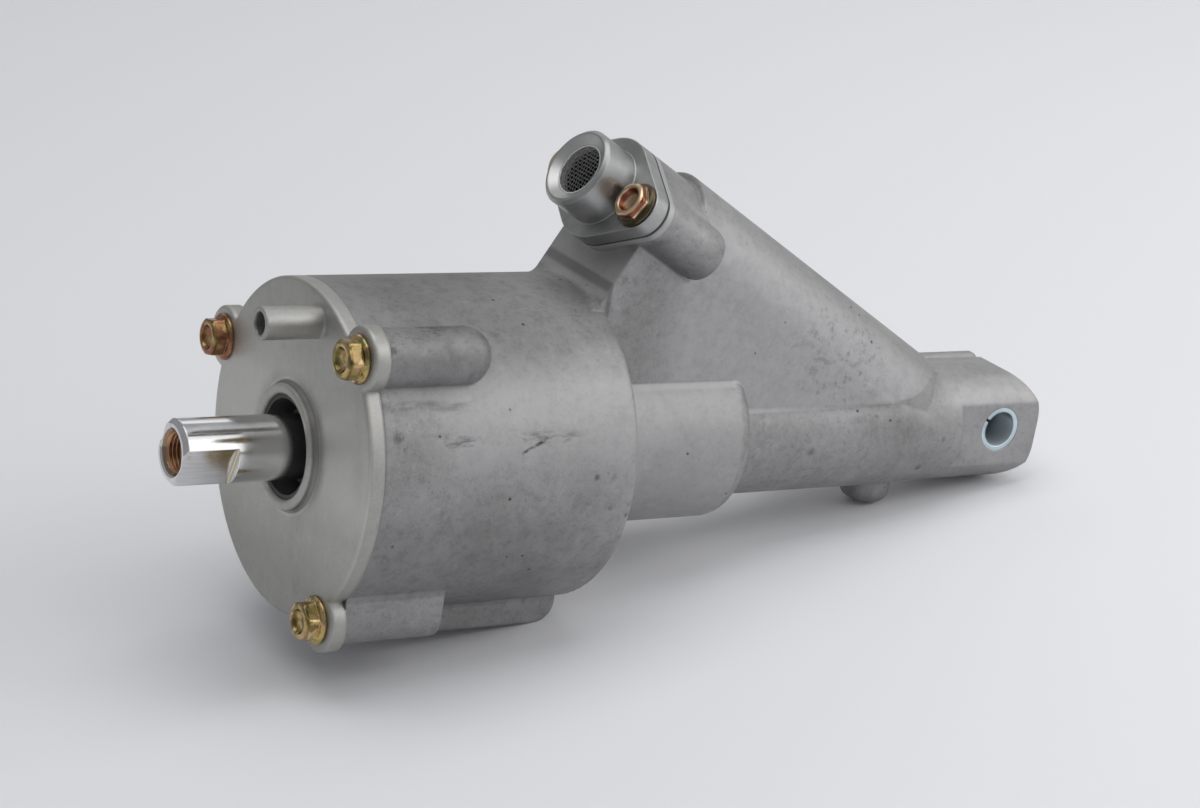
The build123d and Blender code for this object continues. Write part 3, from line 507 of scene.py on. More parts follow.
def cover_marks_and_painted_light(f):
    x, y, z = f.millimetres()
    from_rod = f.off_axis(y, z)
    on_face = x.below(-COVER + 0.5, -COVER + 1)
    groove = from_rod.between(COLLAR_RADIUS - 1.0, COLLAR_RADIUS - 0.3, 23.3, 23.9)
    groove = groove * x.above(-COVER - 2.6, -COVER - 1.9) * (f.noise(90, 3, 0.6) * 0.5 + 0.45)
    smudges = f.noise(30, 4, 0.6).above(0.56, 0.74)
    rim = from_rod.above(59.2, 59.8) * x.above(-COVER + 0.5, -COVER + 1.5)
    # Painted shade on the top and the foot of the face.
    painted_shade_at_ends = (z.above(28, 50) * 0.18 + z.below(-48, -20) * 0.27) * on_face
    lip = from_rod.between(23.5, 23.9, 24.4, 24.9) * on_face
    # Painted light on the middle of the cover's face.
    painted_light = z.between(-22, 0, 12, 34) * from_rod.above(25, 30) * on_face
    return groove * 0.75 + smudges * 0.16 + rim * 0.20 + painted_shade_at_ends, lip * 0.5 + painted_light * 0.60


cover_casting = casting("smooth cast aluminium", pale=(0.50, 0.495, 0.47), dark=(0.43, 0.425, 0.40),
                        rounding=1.7, tone_masks=cover_marks_and_painted_light, stain=0.30, grain=0.45, pits=0.20, dull=0.34)
print("cover:", cover_casting.name)

# %% [markdown]
# ## Machined, plated and moulded finishes
# The fitting is turned and lightly blasted. The rod is hard chrome, almost a mirror. The screws are yellow
# zinc: a clear film whose colour drifts from gold to green and pink, as a colour ramp over a twisted noise.
# The eye bush is blue-white zinc, and the seals and the gasket are matt. Three makers cover them all, and
# each takes a function that adds the marks of its own piece.


# %% Makers of metal and rubber
def turned_metal(name, pale, dark, rough, bump=0.02, scale=900, metallic=1.0, rounding=0.4,
                 marks=lambda f: [], rim=0.35):
    """Machined or plated metal, whose edges are lightened by the rim's amount, partly as wear and partly as a
    painted highlight.
    """
    f = Finish(name)
    tooling, haze = f.noise(scale, 3, 0.6), f.noise(60, 4, 0.6)
    normal, edge_wear_and_highlight = f.edges(rounding * MM)
    rim_wear_and_highlight = (edge_wear_and_highlight * rim, shade(pale, 1.35))
    colour = f.layered(f.mix(haze.above(0.35, 0.65), dark, pale), [*marks(f), rim_wear_and_highlight])
    return f.wear(Base_Color=colour, Metallic=metallic, Roughness=rough + haze * 0.12 + tooling * 0.06,
                  Normal=f.bump(tooling, bump * MM, normal, 0.6))


def passivated(name, gold, green, pink, rough, marks, patchy=0.80):
    """Yellow zinc: a clear film whose colour drifts over the metal."""
    f = Finish(name)
    drift = f.noise(190, 3, 0.6, distortion=1.2)
    film = f.ramp(drift, [(0.36, green), (0.46, gold), (0.55, gold), (0.64, pink)])
    spots, patches = f.noise(700, 3, 0.65), f.noise(210, 2, 0.5)
    normal, edge_wear_and_highlight = f.edges(0.35 * MM)
    colour = f.layered(film, [
        (patches.above(0.50, 0.62) * patchy, shade(gold, 0.30)),
        (spots.above(0.52, 0.70) * 0.45, shade(gold, 0.38)),
        *marks(f),
        # Edges lightened partly as wear and partly as a painted highlight.
        (edge_wear_and_highlight * 0.35, (0.90, 0.84, 0.64))])
    return f.wear(Base_Color=colour, Metallic=1.0, Roughness=rough + spots * 0.18,
                  Normal=f.bump(spots, 0.02 * MM, normal, 0.5))


def moulded(name, colour, rough, grain=0.03, scale=1800):
    """Matt rubber, plastic or fibre with a little dust."""
    f = Finish(name)
    skin, dust = f.noise(scale, 3, 0.6), f.noise(140, 4, 0.6).above(0.45, 0.8)
    normal, _ = f.edges(0.4 * MM)
    dusty = tuple(part * 1.8 + 0.01 for part in colour)
    return f.wear(Base_Color=f.mix(dust * 0.35, colour, dusty), Metallic=0.0, Roughness=rough + skin * 0.12,
                  Normal=f.bump(skin, grain * MM, normal, 0.7))


print("makers: turned metal, passivated zinc, moulded rubber")

# %% [markdown]
# ## Marks of the small pieces
# The rod's spanner flats are brushed and end in a yellowed edge, and its threaded mouth is coppery. The far
# cover bolt is redder than the others, and the dishes of the screws are darker. The flanges of the fitting's
# screws are painted near black as shade. The eye bush gets painted shade inside and a painted pool of light
# on its lower wall, and the fitting's bore gets painted shade, deepening inwards, behind a bright turned
# edge. Each function returns layers: a mask and the tint that it brings.


# %% Marks on the rod, the bush, the bolts and the port
def rod_marks(f):
    x, y, z = f.millimetres()
    from_rod = f.off_axis(y, z)
    flat = from_rod.below(11.60, 11.72)
    brushed = flat * f.noise(60, 3, 0.7, f.mapped((1, 30, 30))).above(0.45, 0.60)
    edge = flat * x.between(-335.7, -335.2, -334.6, -334.45)
    streak = f.near((-331.5, -10.2, 3.0), 3.6) * f.noise(160, 3, 0.6).above(0.40, 0.55)
    worn_tip = x.below(-352.5, -351.5) * f.noise(300, 3, 0.7).above(0.55, 0.68)
    mouth = from_rod.below(8.15, 8.4) * x.below(-340, -338)
    return [(mouth * 0.92, (0.30, 0.17, 0.09)), (brushed * 0.22, (0.36, 0.36, 0.36)),
            (edge * 0.75, (0.62, 0.52, 0.26)), (streak * 0.3, (0.50, 0.38, 0.24)),
            (worn_tip * 0.30, (0.16, 0.13, 0.11))]


def bush_wall(f):
    x, y, z = f.millimetres()
    wall = f.off_axis(x, z).below(7.4, 7.8)
    lit = (z - x * 0.6).below(-3.0, 3.0) * y.math("ABSOLUTE").above(4, 14)
    # Painted shade on the inside wall of the bush, and a painted pool of light on its lower wall.
    return [(wall * (1 - lit) * 0.85, (0.06, 0.085, 0.10)), (wall * lit * 0.9, (0.86, 0.94, 0.98))]


def far_bolt_red(f):
    x, y, _ = f.millimetres()
    red = y.above(35, 40) * f.noise(170, 3, 0.6).above(0.34, 0.56)
    dish = x.between(-317.0, -316.6, -316.0, -315.4)
    return [(red * 0.85, (0.27, 0.095, 0.06)), (dish * 0.6, (0.10, 0.07, 0.02))]


def red_dish(f):
    depth, _ = in_valve_frame(f)
    wall = depth.between(10.45, 10.75, 12.2, 12.7)
    # The dish wall is darker red; below it the screw's flange is painted near black as shade.
    return [(wall * 0.90, (0.20, 0.035, 0.015)), (depth.above(12.9, 13.5) * 0.92, (0.035, 0.028, 0.012))]


def port_inside(f):
    _, y, _ = f.millimetres()
    depth, height = in_valve_frame(f)
    off = f.off_axis(y, height)
    inside = off.below(10.4, 10.6)
    # A lighter turned edge, then painted shade that deepens down the bore.
    return [(off.below(13.0, 13.3) * 0.35, (0.70, 0.70, 0.68)),
            (inside * depth.above(2.2, 2.8) * 0.8, (0.08, 0.08, 0.08)),
            (inside * depth.above(4.0, 5.2), (0.012, 0.012, 0.012))]


print("marks for five finishes ready")

# %% [markdown]
# ## The finishes and where they go
# The record names a material slot for every CAD node, so one dictionary from slots to materials dresses
# them all, also those that are hidden inside. The thread in the rod is a piece with a finish of its own.

# %% Finishes on the CAD nodes
finishes = {
    "cast_aluminium": body_casting,
    "cover_aluminium": cover_casting,
    "fitting_aluminium": turned_metal(
        "turned aluminium, blasted", (0.45, 0.455, 0.45), (0.34, 0.345, 0.34), 0.30, bump=0.04, scale=1300,
        metallic=0.95, rounding=0.7, marks=port_inside, rim=0.9),
    "machined_aluminium": turned_metal("machined aluminium", (0.70, 0.70, 0.71), (0.60, 0.60, 0.61), 0.24),
    "yellow_zinc": passivated(
        "yellow zinc plate", (0.56, 0.41, 0.17), (0.30, 0.29, 0.11), (0.66, 0.44, 0.30),
        rough=0.16, marks=far_bolt_red),
    "copper_zinc": passivated(
        "reddish zinc plate", (0.84, 0.62, 0.38), (0.82, 0.68, 0.48), (0.90, 0.66, 0.56),
        rough=0.22, marks=red_dish, patchy=0.20),
    "white_zinc": turned_metal(
        "blue-white zinc plate", (0.60, 0.72, 0.78), (0.46, 0.58, 0.64), 0.34,
        scale=700, metallic=0.50, rounding=0.5, marks=bush_wall, rim=0.6),
    "chrome": turned_metal(
        "hard chrome", (0.82, 0.82, 0.83), (0.76, 0.76, 0.77), 0.045,
        bump=0.004, scale=500, rounding=0.5, marks=rod_marks),
    "plain_steel": turned_metal("ground steel", (0.56, 0.56, 0.57), (0.44, 0.44, 0.45), 0.28),
    "spring_steel": turned_metal(
        "phosphated steel", (0.16, 0.16, 0.17), (0.10, 0.10, 0.11), 0.45,
        bump=0.03, scale=1200, metallic=0.85),
    "mesh_steel": turned_metal(
        "woven steel wire", (0.30, 0.30, 0.295), (0.20, 0.20, 0.20), 0.32,
        bump=0.005, scale=1200, rounding=0.05),
    "bush_bronze": turned_metal("turned bronze", (0.62, 0.44, 0.22), (0.50, 0.34, 0.16), 0.30),
    "guide_plastic": moulded("filled plastic", (0.045, 0.038, 0.03), 0.55),
    "gasket": moulded("fibre gasket", (0.05, 0.05, 0.047), 0.75, grain=0.06, scale=900),
    "rubber": moulded("black rubber", (0.060, 0.060, 0.058), 0.48, scale=1500),
}
old_copper = turned_metal(
    "stained thread", (0.62, 0.36, 0.20), (0.32, 0.17, 0.09), 0.28, scale=700, rounding=0.15)
slots = {part["node"]: part["material_slot"] for part in frame["record"]["subparts"]}
for name, node in nodes.items():
    node.data.materials.clear()
    node.data.materials.append(finishes[slots[name]])
print("finishes:", len(finishes), "on", len(slots), "nodes")

# %% [markdown]
# ## Studio light
# The photograph has a wide soft light overhead, more light from the right, a pale floor that runs out of
# the picture, and no hard shadow. Four large area lights give that: one overhead, one for the floor far
# behind, and two on the right. Chrome shows what surrounds it, so the tall near box on the right fills most
# of the rod's width with white.


# %% Lights
def softbox(name, place, aim_at, size, power):
    """Rectangular area light; its place and its aim are given over the floor, in metres."""
    light = bpy.data.lights.new(name, "AREA")
    light.shape = "RECTANGLE"
    light.size, light.size_y = size
    light.energy = power
    lamp = added(name, light)
    middle = over_floor(*place)
    back = (middle - over_floor(*aim_at)).normalized()
    right = floor_normal.cross(back).normalized()
    lamp.matrix_world = turned_to(right, back.cross(right), back, middle)


softbox("overhead box", (0.0, 0.1, 2.2), (0, 0, 0), (2.4, 1.6), 20.0)
softbox("far box", (0.5, 2.6, 1.9), (0.4, 2.0, 0), (2.6, 1.2), 6.0)
softbox("right box", (1.6, -0.9, 1.2), (0, 0, 0.05), (1.2, 1.0), 9.1)
softbox("near right box", (1.0, -1.41, 1.26), (-0.19, 0, 0.07), (1.2, 2.1), 8.5)

# %% [markdown]
# ## Surroundings
# The world is a pale grey, a little brighter on the right. A dark card hangs between the overhead box and
# the near right box, and the rod reflects it as the thin dark line along its top. The card is a cone of
# directions, dark where the view is close to its middle.

# %% World
DARK_CARD = Vector((0.54, -0.28, 0.80)).normalized()
world = bpy.data.worlds.new("pale studio")
scene.world = world
world.use_nodes = True
surround = Graph(world.node_tree)
looking = surround.node("ShaderNodeTexCoord").outputs["Generated"]
rightward = surround.parts(looking)[0].math("MAXIMUM", 0.0)
dark_card = surround.along(looking, DARK_CARD).above(0.955, 0.984)
background = surround.nodes["Background"]
background.inputs["Color"].default_value = (0.97, 0.98, 1.0, 1)
surround.plug(background.inputs["Strength"], (0.30 + rightward * rightward * 0.42) * (1 - dark_card * 0.97))
scene.view_settings.view_transform = "Standard"
print("world:", world.name)

# %% [markdown]
# ## The paper
# The servo lies on pale paper. In the photograph the paper gets slowly paler from left to right, as it does
# when the light comes from the right, so its tone follows the image's right over about a metre.

# %% Paper on the floor
paper = Finish("pale paper")
paleness = paper.along(paper.place, image_right).above(-0.75, 0.5) * 0.85 + paper.noise(1.2, 2, 0.5) * 0.15
floor_mesh.materials.append(paper.wear(
    Base_Color=paper.mix(paleness, (0.805, 0.81, 0.835), (0.935, 0.94, 0.96)), Roughness=0.75,
    Normal=paper.bump(paper.noise(700, 2), 0.02 * MM)))
print("floor:", paper.material.name)

# %% [markdown]
# ## Geometry Nodes for what repeats
# Screws, a woven strainer and a thread each follow a short rule, so a node tree makes them from a few named
# sizes. The class below makes a tree with its inputs, runs it on a small starting mesh, and keeps the result
# as a plain mesh that rides on one body of the frame.

# %% Trees that make pieces
SOCKETS = {int: "NodeSocketInt", float: "NodeSocketFloat"}


class Growth(Graph):
    """A Geometry Nodes tree with named sizes as its inputs."""

    def __init__(self, name, **sizes):
        self.tree = bpy.data.node_groups.new(name, "GeometryNodeTree")
        super().__init__(self.tree)
        for way in ("INPUT", "OUTPUT"):
            self.tree.interface.new_socket("Geometry", in_out=way, socket_type="NodeSocketGeometry")
        self.inputs = []
        for key, value in sizes.items():
            made = self.tree.interface.new_socket(key, in_out="INPUT", socket_type=SOCKETS[type(value)])
            self.inputs.append((made.identifier, value))
        self.start = self.node("NodeGroupInput")

    def size(self, key):
        return Wave(self, self.start.outputs[key])

    def index(self):
        return Wave(self, self.node("GeometryNodeInputIndex").outputs[0])

    def place(self):
        return self.parts(self.node("GeometryNodeInputPosition").outputs[0])

    def put(self, geometry, position):
        sockets = {"Geometry": geometry, "Position": position}
        return self.node("GeometryNodeSetPosition", sockets).outputs[0]

    def grid(self, rows):
        """A grid, with each point's share of a turn, which its column gives, and its row."""
        sockets = {"Vertices X": self.size("Segments") + 1, "Vertices Y": rows}
        made = self.node("GeometryNodeMeshGrid", sockets)
        column = (self.index() / rows).math("FLOOR")
        return made.outputs["Mesh"], column / self.size("Segments"), self.index() - column * rows

    def rolled(self, grid, radius, turn, height):
        """The grid rolled round the z axis."""
        angle = turn * math.tau
        x, y = radius * angle.math("COSINE"), radius * angle.math("SINE")
        return self.put(grid, self.vector(x, y, height))

    def end(self, geometry, material):
        """Real mesh with its material, as the tree's output."""
        whole = self.node("GeometryNodeRealizeInstances", {"Geometry": geometry}).outputs[0]
        dressed = self.node("GeometryNodeSetMaterial", {"Geometry": whole, "Material": material})
        self.node("NodeGroupOutput", {0: dressed.outputs[0]})
        return self

    def grow(self, name, start, place=Matrix(), weld=1e-6):
        """Run the tree on a starting mesh and return the result as a new object."""
        seed = added(name + "_start", start)
        modifier = seed.modifiers.new("growth", "NODES")
        modifier.node_group = self.tree
        for identifier, value in self.inputs:
            modifier[identifier] = value
        graph = bpy.context.evaluated_depsgraph_get()
        mesh = bpy.data.meshes.new_from_object(seed.evaluated_get(graph))
        seed.modifiers.remove(modifier)
        bpy.data.objects.remove(seed)
        mesh.transform(place)
        shape = bmesh.new()
        shape.from_mesh(mesh)
        bmesh.ops.remove_doubles(shape, verts=shape.verts, dist=weld)
        bmesh.ops.recalc_face_normals(shape, faces=shape.faces)
        shape.to_mesh(mesh)
        shape.free()
        mesh.name = name
        print(name, "faces:", len(mesh.polygons))
        return added(name, mesh)


# %% [markdown]
# ## Starting points and smooth shading
# A tree starts from loose points: one for each place where its piece is put, with a turn where it needs
# one. The result is shaded smooth, and only edges sharper than a given angle stay sharp.


# %% Points and shading
def points_mesh(name, points, turns=None):
    """Mesh of loose points in mm, with a turn for each."""
    mesh = bpy.data.meshes.new(name)
    mesh.from_pydata([tuple(v * MM for v in point) for point in points], [], [])
    if turns:
        attribute = mesh.attributes.new("turn", "FLOAT_VECTOR", "POINT")
        for item, turn in zip(attribute.data, turns):
            item.vector = turn
    return mesh


def soften(piece, angle):
    """Smooth shading, with the edges sharper than this angle kept."""
    piece.data.shade_smooth()
    shape = bmesh.new()
    shape.from_mesh(piece.data)
    for edge in shape.edges:
        edge.smooth = len(edge.link_faces) != 2 or edge.calc_face_angle(0) < math.radians(angle)
    shape.to_mesh(piece.data)
    shape.free()


print("growth helpers ready")

# %% [markdown]
# ## Two CAD pieces trued
# Against the photograph, three forms of the imported model are a little off. The screw bosses end flat, not
# in a ball. The ridge runs into the flat sides of its web without a crease, so it is exactly as wide as the
# web. And the fitting's mouth has a wide countersink. Each is a rule on places in the valve's own frame.
# The rule moves points by a few millimetres on a copy of the CAD mesh, and the copy stands for the node.

# %% Rules that move points
RIDGE = dict(radius=23.3, start=46.0, end=192.0, half_width=22.5)
MOUTH = dict(edge=10.7, edge_to=13.2, bore=9.9, bore_from=0.8, bore_to=2.2)


def close_to(value, aim, slack=0.06):
    return abs(value - aim) < slack


def trued_casting(depth, y, height):
    """Flat boss ends, and a ridge that meets its web without a crease."""
    off_ridge, half_width = math.hypot(y, height), RIDGE["half_width"]
    off_boss = math.hypot(abs(y) - BOSS["side"], height)
    if depth > BOSS["end"] and close_to(math.hypot(off_boss, depth - BOSS["middle"]), BOSS["radius"], 0.12):
        depth = BOSS["end"]
    if close_to(off_ridge, RIDGE["radius"]) and RIDGE["start"] - 0.1 < depth < RIDGE["end"] + 0.1:
        if height > 0:
            y *= half_width / RIDGE["radius"]
        else:
            y = max(-half_width, min(half_width, y))
    return depth, y, height


def trued_fitting(depth, y, height):
    """A wide countersink at the mouth."""
    off = math.hypot(y, height)
    if close_to(off, MOUTH["edge"]) and close_to(depth, 0):
        wider = MOUTH["edge_to"] / off
        return depth, y * wider, height * wider
    if close_to(off, MOUTH["bore"]) and close_to(depth, MOUTH["bore_from"]):
        return MOUTH["bore_to"], y, height
    return depth, y, height


print("boss ends at", BOSS["end"], "mm, ridge half width", RIDGE["half_width"], "mm")

# %% [markdown]
# ## The reshaped copies
# The CAD mesh has doubled points at every face's rim. They are merged first, so that a moved point takes all
# its faces along, and faces that a move flattens to nothing are dissolved.


# %% Reshaped copies
def reshaped(name, node, rule, slot):
    """A merged copy of a CAD node's mesh, with a rule that moves its points in the valve's frame."""
    shape = bmesh.new()
    shape.from_mesh(nodes[node].data)
    bmesh.ops.remove_doubles(shape, verts=shape.verts, dist=1e-6)
    moved = 0
    for vertex in shape.verts:
        from_mouth = vertex.co / MM - valve_mouth
        here = (from_mouth.dot(valve_down), from_mouth.y, from_mouth.dot(valve_up))
        there = rule(*here)
        if there != here:
            depth, y, height = there
            vertex.co = (valve_mouth + valve_down * depth + valve_up * height + across * y) * MM
            moved += 1
    bmesh.ops.dissolve_degenerate(shape, edges=shape.edges, dist=1e-6)
    mesh = bpy.data.meshes.new(name)
    shape.to_mesh(mesh)
    shape.free()
    mesh.materials.append(finishes[slot])
    piece = added(name, mesh)
    soften(piece, 30)
    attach(piece, "housing")
    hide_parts(node)
    print(name, "points moved:", moved, "of", len(mesh.vertices))


reshaped("cast_body", "main_housing", trued_casting, slots["main_housing"])
reshaped("air_fitting", "air_inlet_fitting", trued_fitting, slots["air_inlet_fitting"])

# %% [markdown]
# ## Flange screws
# Each screw head is a hexagon pressed out of a round blank: a flange below, six flats, a chamfer that cuts
# the corners round at the top, and a shallow dish. A turned profile gives everything but the flats. Those
# come from one more rule: above the flange, no point may lie outside the hexagon. The tree turns the profile,
# applies the rule, and puts a copy on each seat.

# %% The screw tree
HEXAGON = dict(flats=12.9, from_height=2.0)
FLANGE_AND_SHANK = [(0, -25.8), (3.2, -25.8), (3.95, -25.0), (3.95, 0.02), (8.3, 0.02), (8.6, 0.3),
                    (8.6, 0.9), (8.3, 1.35), (7.8, 1.75), (7.4, 2.0), (7.25, 2.35)]


def head_profile(height, dish, dish_radius):
    """Half outline of a screw, with its round top corner and a dish of this depth and radius."""
    top = height - 0.06
    crown = [(7.25, top - 1.5), (7.1, top - 1.05), (6.65, top - 0.5), (6.1, top - 0.15), (5.6, top)]
    hollow = [(dish_radius, top), (dish_radius - 0.35, top - 0.18), (dish_radius - 0.85, top - 0.55 * dish),
              (dish_radius - 1.4, top - 0.85 * dish), (dish_radius - 2.2, top - dish)]
    return FLANGE_AND_SHANK + crown + hollow + [(0, top - dish)]


def screw_tree(name, profile, material):
    """Tree that stands one screw on each starting point, turned by the point's own turn."""
    t = Growth(name, Segments=72, Hexagon=HEXAGON["flats"] * MM, Hexagon_from=HEXAGON["from_height"] * MM)
    outline = added(name + "_outline", points_mesh(name, [(r, 0, z) for r, z in profile]))
    drawn = t.node("GeometryNodeObjectInfo", {"Object": outline})
    grid, turn, row = t.grid(len(profile))
    position = t.node("GeometryNodeInputPosition").outputs[0]
    sockets = {"Geometry": drawn.outputs["Geometry"], "Value": position, "Index": row}
    profile_at = t.node("GeometryNodeSampleIndex", sockets, data_type="FLOAT_VECTOR")
    radius, _, height = t.parts(profile_at.outputs[0])
    sector = math.tau / 6
    in_flat = (turn * math.tau).math("FLOORED_MODULO", sector) - sector / 2
    hexagon_here = t.size("Hexagon") * 0.5 / in_flat.math("COSINE")
    freed = height.math("LESS_THAN", t.size("Hexagon_from"))
    radius = radius.math("MINIMUM", hexagon_here + freed)
    head = t.rolled(grid, radius, turn, height)
    tightened = t.node("GeometryNodeInputNamedAttribute", {"Name": "turn"}, data_type="FLOAT_VECTOR")
    spun = t.node("FunctionNodeEulerToRotation", {0: tightened.outputs[0]})
    stood = t.node("GeometryNodeInstanceOnPoints",
                   {"Points": t.start.outputs["Geometry"], "Instance": head, "Rotation": spun.outputs[0]})
    return t.end(stood.outputs[0], material), outline


print("screw profile points:", len(head_profile(7.2, 1.9, 4.8)))

# %% [markdown]
# ## The screws on their seats
# The three cover bolts sit on a bolt circle and point forward, and the two screws of the fitting sit beside
# the valve's axis and point out along it. Each was tightened to its own angle, so each has its own spin.

# %% Screws
BOLTS = dict(circle=62.4, angles=(-70.9, 41.2, 144.2), spins=(12, 4, 20))
FLANGE_FACE = 15.5


def screws(name, node, seats, heads_along, spins, slot, profile):
    """Screws on their seats, with the heads pointing one way, in place of a CAD node."""
    other = heads_along.cross(across).normalized()
    seat_frame = Matrix((across, other, heads_along)).transposed()
    turns = [(seat_frame @ Matrix.Rotation(math.radians(spin), 3, "Z")).to_euler() for spin in spins]
    tree, outline = screw_tree(name, profile, finishes[slot])
    piece = tree.grow(name, points_mesh(name + "_seats", seats, turns))
    bpy.data.objects.remove(outline)
    soften(piece, 28)
    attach(piece, "housing")
    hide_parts(node)


bolt_seats = [(-COVER, -BOLTS["circle"] * math.sin(angle), BOLTS["circle"] * math.cos(angle))
              for angle in map(math.radians, BOLTS["angles"])]
screws("cover_screws", "cover_bolts", bolt_seats, Vector((-1, 0, 0)), BOLTS["spins"], "yellow_zinc",
       head_profile(height=7.2, dish=1.9, dish_radius=4.8))
seat_middle = valve_mouth + valve_down * FLANGE_FACE
inlet_seats = [seat_middle + across * side for side in (-BOSS["side"], BOSS["side"])]
screws("flange_screws", "inlet_screws", inlet_seats, -valve_down, (18, 0), "copper_zinc",
       head_profile(height=5.4, dish=2.4, dish_radius=5.0))

# %% [markdown]
# ## The woven strainer
# Just inside the port sits a disc of woven steel wire, domed outwards, in a pressed ring. In a plain weave
# each wire goes over one crossing wire and under the next, which is a cosine along the wire whose sign
# changes from wire to wire. The tree lays straight wires, cuts them to the disc, bends them by that cosine
# and the dome, and sweeps a small circle along each.

# %% The strainer tree
STRAINER = dict(radius=9.55, pitch=1.35, wire=0.15, dome=1.25, face=2.6)


def strainer_tree(material):
    t = Growth("woven strainer", Radius=STRAINER["radius"] * MM, Pitch=STRAINER["pitch"] * MM,
               Wire=STRAINER["wire"] * MM, Dome=STRAINER["dome"] * MM, Wires=14, Steps=152)
    radius, pitch = t.size("Radius"), t.size("Pitch")
    reach = (t.size("Wires") - 1) * 0.5
    line = t.node("GeometryNodeMeshLine",
                  {"Count": t.size("Steps") + 1, "Start Location": t.vector(radius * -1.0, 0, 0),
                   "Offset": t.vector(radius * 2.0 / t.size("Steps"), 0, 0)})
    starts = t.node("GeometryNodeMeshLine",
                    {"Count": t.size("Wires"), "Start Location": t.vector(0, pitch * reach * -1.0, 0),
                     "Offset": t.vector(0, pitch, 0)})
    laid = t.node("GeometryNodeInstanceOnPoints",
                  {"Points": starts.outputs[0], "Instance": line.outputs[0]})
    laid = t.node("GeometryNodeRealizeInstances", {"Geometry": laid.outputs[0]}).outputs[0]
    x, y, _ = t.place()
    outside = ((x * x + y * y).math("SQRT") - radius).math("GREATER_THAN", 0.0)
    cut = t.node("GeometryNodeDeleteGeometry", {"Geometry": laid, "Selection": outside}, domain="POINT")
    both = t.node("GeometryNodeJoinGeometry")
    for way in (1, -1):
        x, y, _ = t.place()
        wire_number = (y / pitch + 0.5).math("FLOOR")
        over = wire_number.math("FLOORED_MODULO", 2.0) * 2.0 - 1
        weave = (x / pitch * math.pi).math("COSINE") * over * t.size("Wire") * way
        rise = (1 - (x * x + y * y) / (radius * radius)) * t.size("Dome") + weave
        bent = t.put(cut.outputs[0], t.vector(x, y, rise) if way == 1 else t.vector(y * -1.0, x, rise))
        curve = t.node("GeometryNodeMeshToCurve", {"Mesh": bent}).outputs[0]
        circle = t.node("GeometryNodeCurvePrimitiveCircle", {"Resolution": 6, "Radius": t.size("Wire")})
        wires = t.node("GeometryNodeCurveToMesh",
                       {"Curve": curve, "Profile Curve": circle.outputs[0], "Fill Caps": True})
        t.links.new(wires.outputs[0], both.inputs[0])
    return t.end(both.outputs[0], material)


def valve_matrix(depth):
    """Local z up the valve axis, local x across it."""
    return turned_to(across, valve_down.cross(across), -valve_down, (valve_mouth + valve_down * depth) * MM)


strainer_seat = valve_matrix(STRAINER["face"])
strainer_start = points_mesh("strainer_start", [(0, 0, 0)])
wires = strainer_tree(finishes["mesh_steel"])
strainer = wires.grow("woven_strainer", strainer_start, strainer_seat, weld=1e-9)

# %% [markdown]
# ## The strainer's ring
# The wires are held in a pressed ring with a rounded front. It is a turned section: points of radius and
# height, swept round and joined to the wires as one piece.

# %% Ring round the strainer
RING = dict(inner=9.45, outer=9.85, front=2.3, back=4.95, round=0.12)


def turned_ring(outline, steps=96):
    """Closed ring about z, from (radius, height) points in mm that go round its section."""
    shape = bmesh.new()
    rounds = []
    for step in range(steps):
        angle = math.tau * step / steps
        rounds.append([shape.verts.new((r * MM * math.cos(angle), r * MM * math.sin(angle), z * MM))
                       for r, z in outline])
    for here, there in zip(rounds, rounds[1:] + rounds[:1]):
        for i in range(len(outline)):
            j = (i + 1) % len(outline)
            shape.faces.new((here[i], there[i], there[j], here[j]))
    bmesh.ops.recalc_face_normals(shape, faces=shape.faces)
    return shape


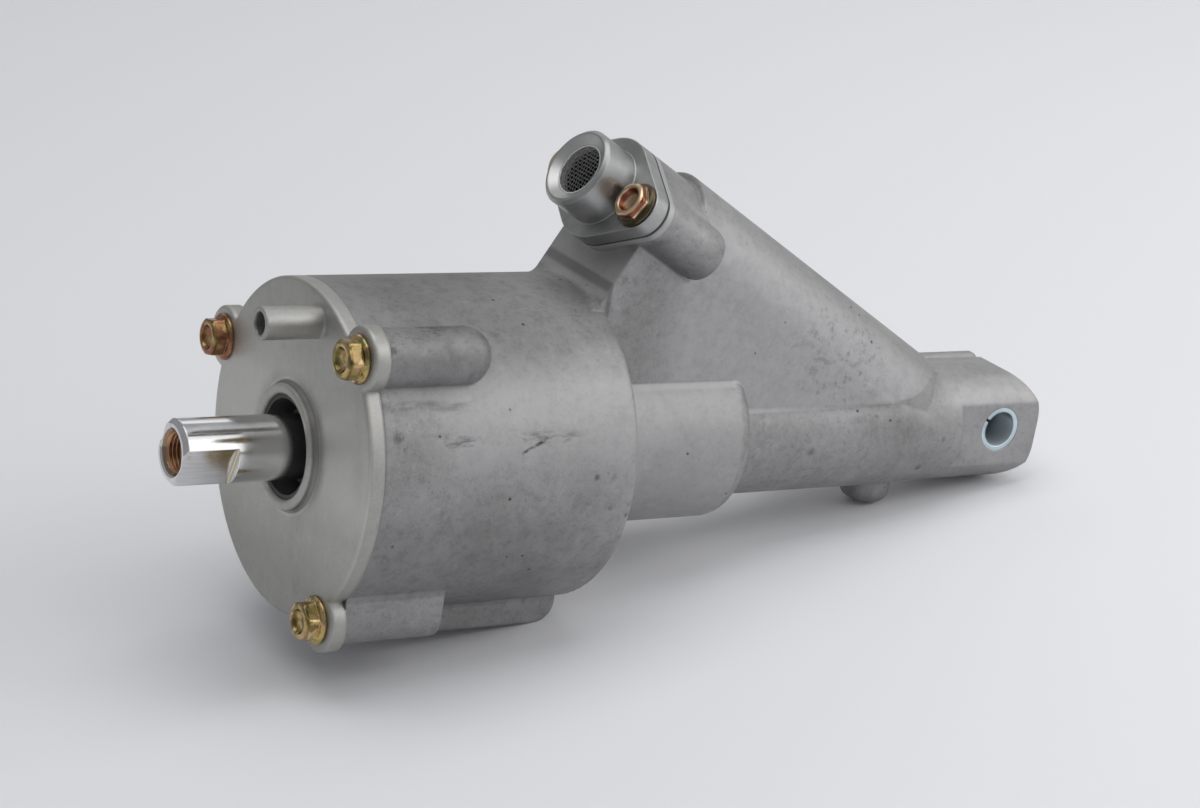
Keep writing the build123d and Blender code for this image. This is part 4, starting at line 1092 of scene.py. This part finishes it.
inner, outer, corner = RING["inner"], RING["outer"], RING["round"]
low, high = STRAINER["face"] - RING["back"], STRAINER["face"] - RING["front"]
nick = corner * 0.3
ring = turned_ring([(inner, low), (outer, low), (outer, high - corner), (outer - nick, high - nick),
                    (outer - corner, high), (inner + corner, high), (inner + nick, high - nick),
                    (inner, high - corner)])
ring.transform(strainer_seat)
ring.from_mesh(strainer.data)
ring.to_mesh(strainer.data)
ring.free()
soften(strainer, 40)
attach(strainer, "housing")
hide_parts("inlet_strainer")
print("strainer with its ring, faces:", len(strainer.data.polygons))

# %% [markdown]
# ## The thread in the rod
# The rod end has a countersunk M16 thread with a 1.5 mm pitch. A thread is one rule: the radius depends on
# the distance along the axis minus the share of a turn, folded into a triangle and cut flat at its crest.
# The tree lays a grid, rolls it into that shape, and closes it with a plain wall just inside the drilled
# hole, so the lining is a thin solid sleeve with a thread inside. It fades out at both ends.

# %% The thread tree
THREAD = dict(root=7.19, depth=0.85, pitch=1.5, start=1.75, length=25.5)
SKIN, FADE = 0.03, 40
ROD_TIP = -354.9


def thread_tree(material):
    t = Growth("rod thread", Root=THREAD["root"] * MM, Depth=THREAD["depth"] * MM, Pitch=THREAD["pitch"] * MM,
               Length=THREAD["length"] * MM, Segments=64, Rows=205)
    rows, root = t.size("Rows"), t.size("Root")
    grid, turn, row = t.grid(rows + 3)
    inside = row.math("LESS_THAN", rows)
    share = (row / (rows - 1)).math("MINIMUM", 1.0)
    phase = share * t.size("Length") / t.size("Pitch") - turn
    fold = 1 - (phase.math("FLOORED_MODULO", 1.0) * 2.0 - 1).math("ABSOLUTE")
    crest = (fold * 1.25).math("MINIMUM", 1.0)
    fade = (share * FADE).math("MINIMUM", 1.0) * ((1 - share) * FADE).math("MINIMUM", 1.0)
    radius = root - (crest * fade * (1 - SKIN) + SKIN) * t.size("Depth") * inside
    closing = row.math("GREATER_THAN", rows + 1.5)
    radius = radius * (1 - closing) + (root - t.size("Depth") * SKIN) * closing
    along = share * inside + row.math("COMPARE", rows, 0.5)
    return t.end(t.rolled(grid, radius, turn, along * t.size("Length")), material)


thread_seat = Vector((ROD_TIP + THREAD["start"], 0, 0)) * MM
rod_matrix = turned_to(across, Vector((0, 0, 1)), Vector((1, 0, 0)), thread_seat)
thread = thread_tree(old_copper).grow("rod_thread", points_mesh("thread_start", [(0, 0, 0)]), rod_matrix)
soften(thread, 50)
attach(thread, "rod")
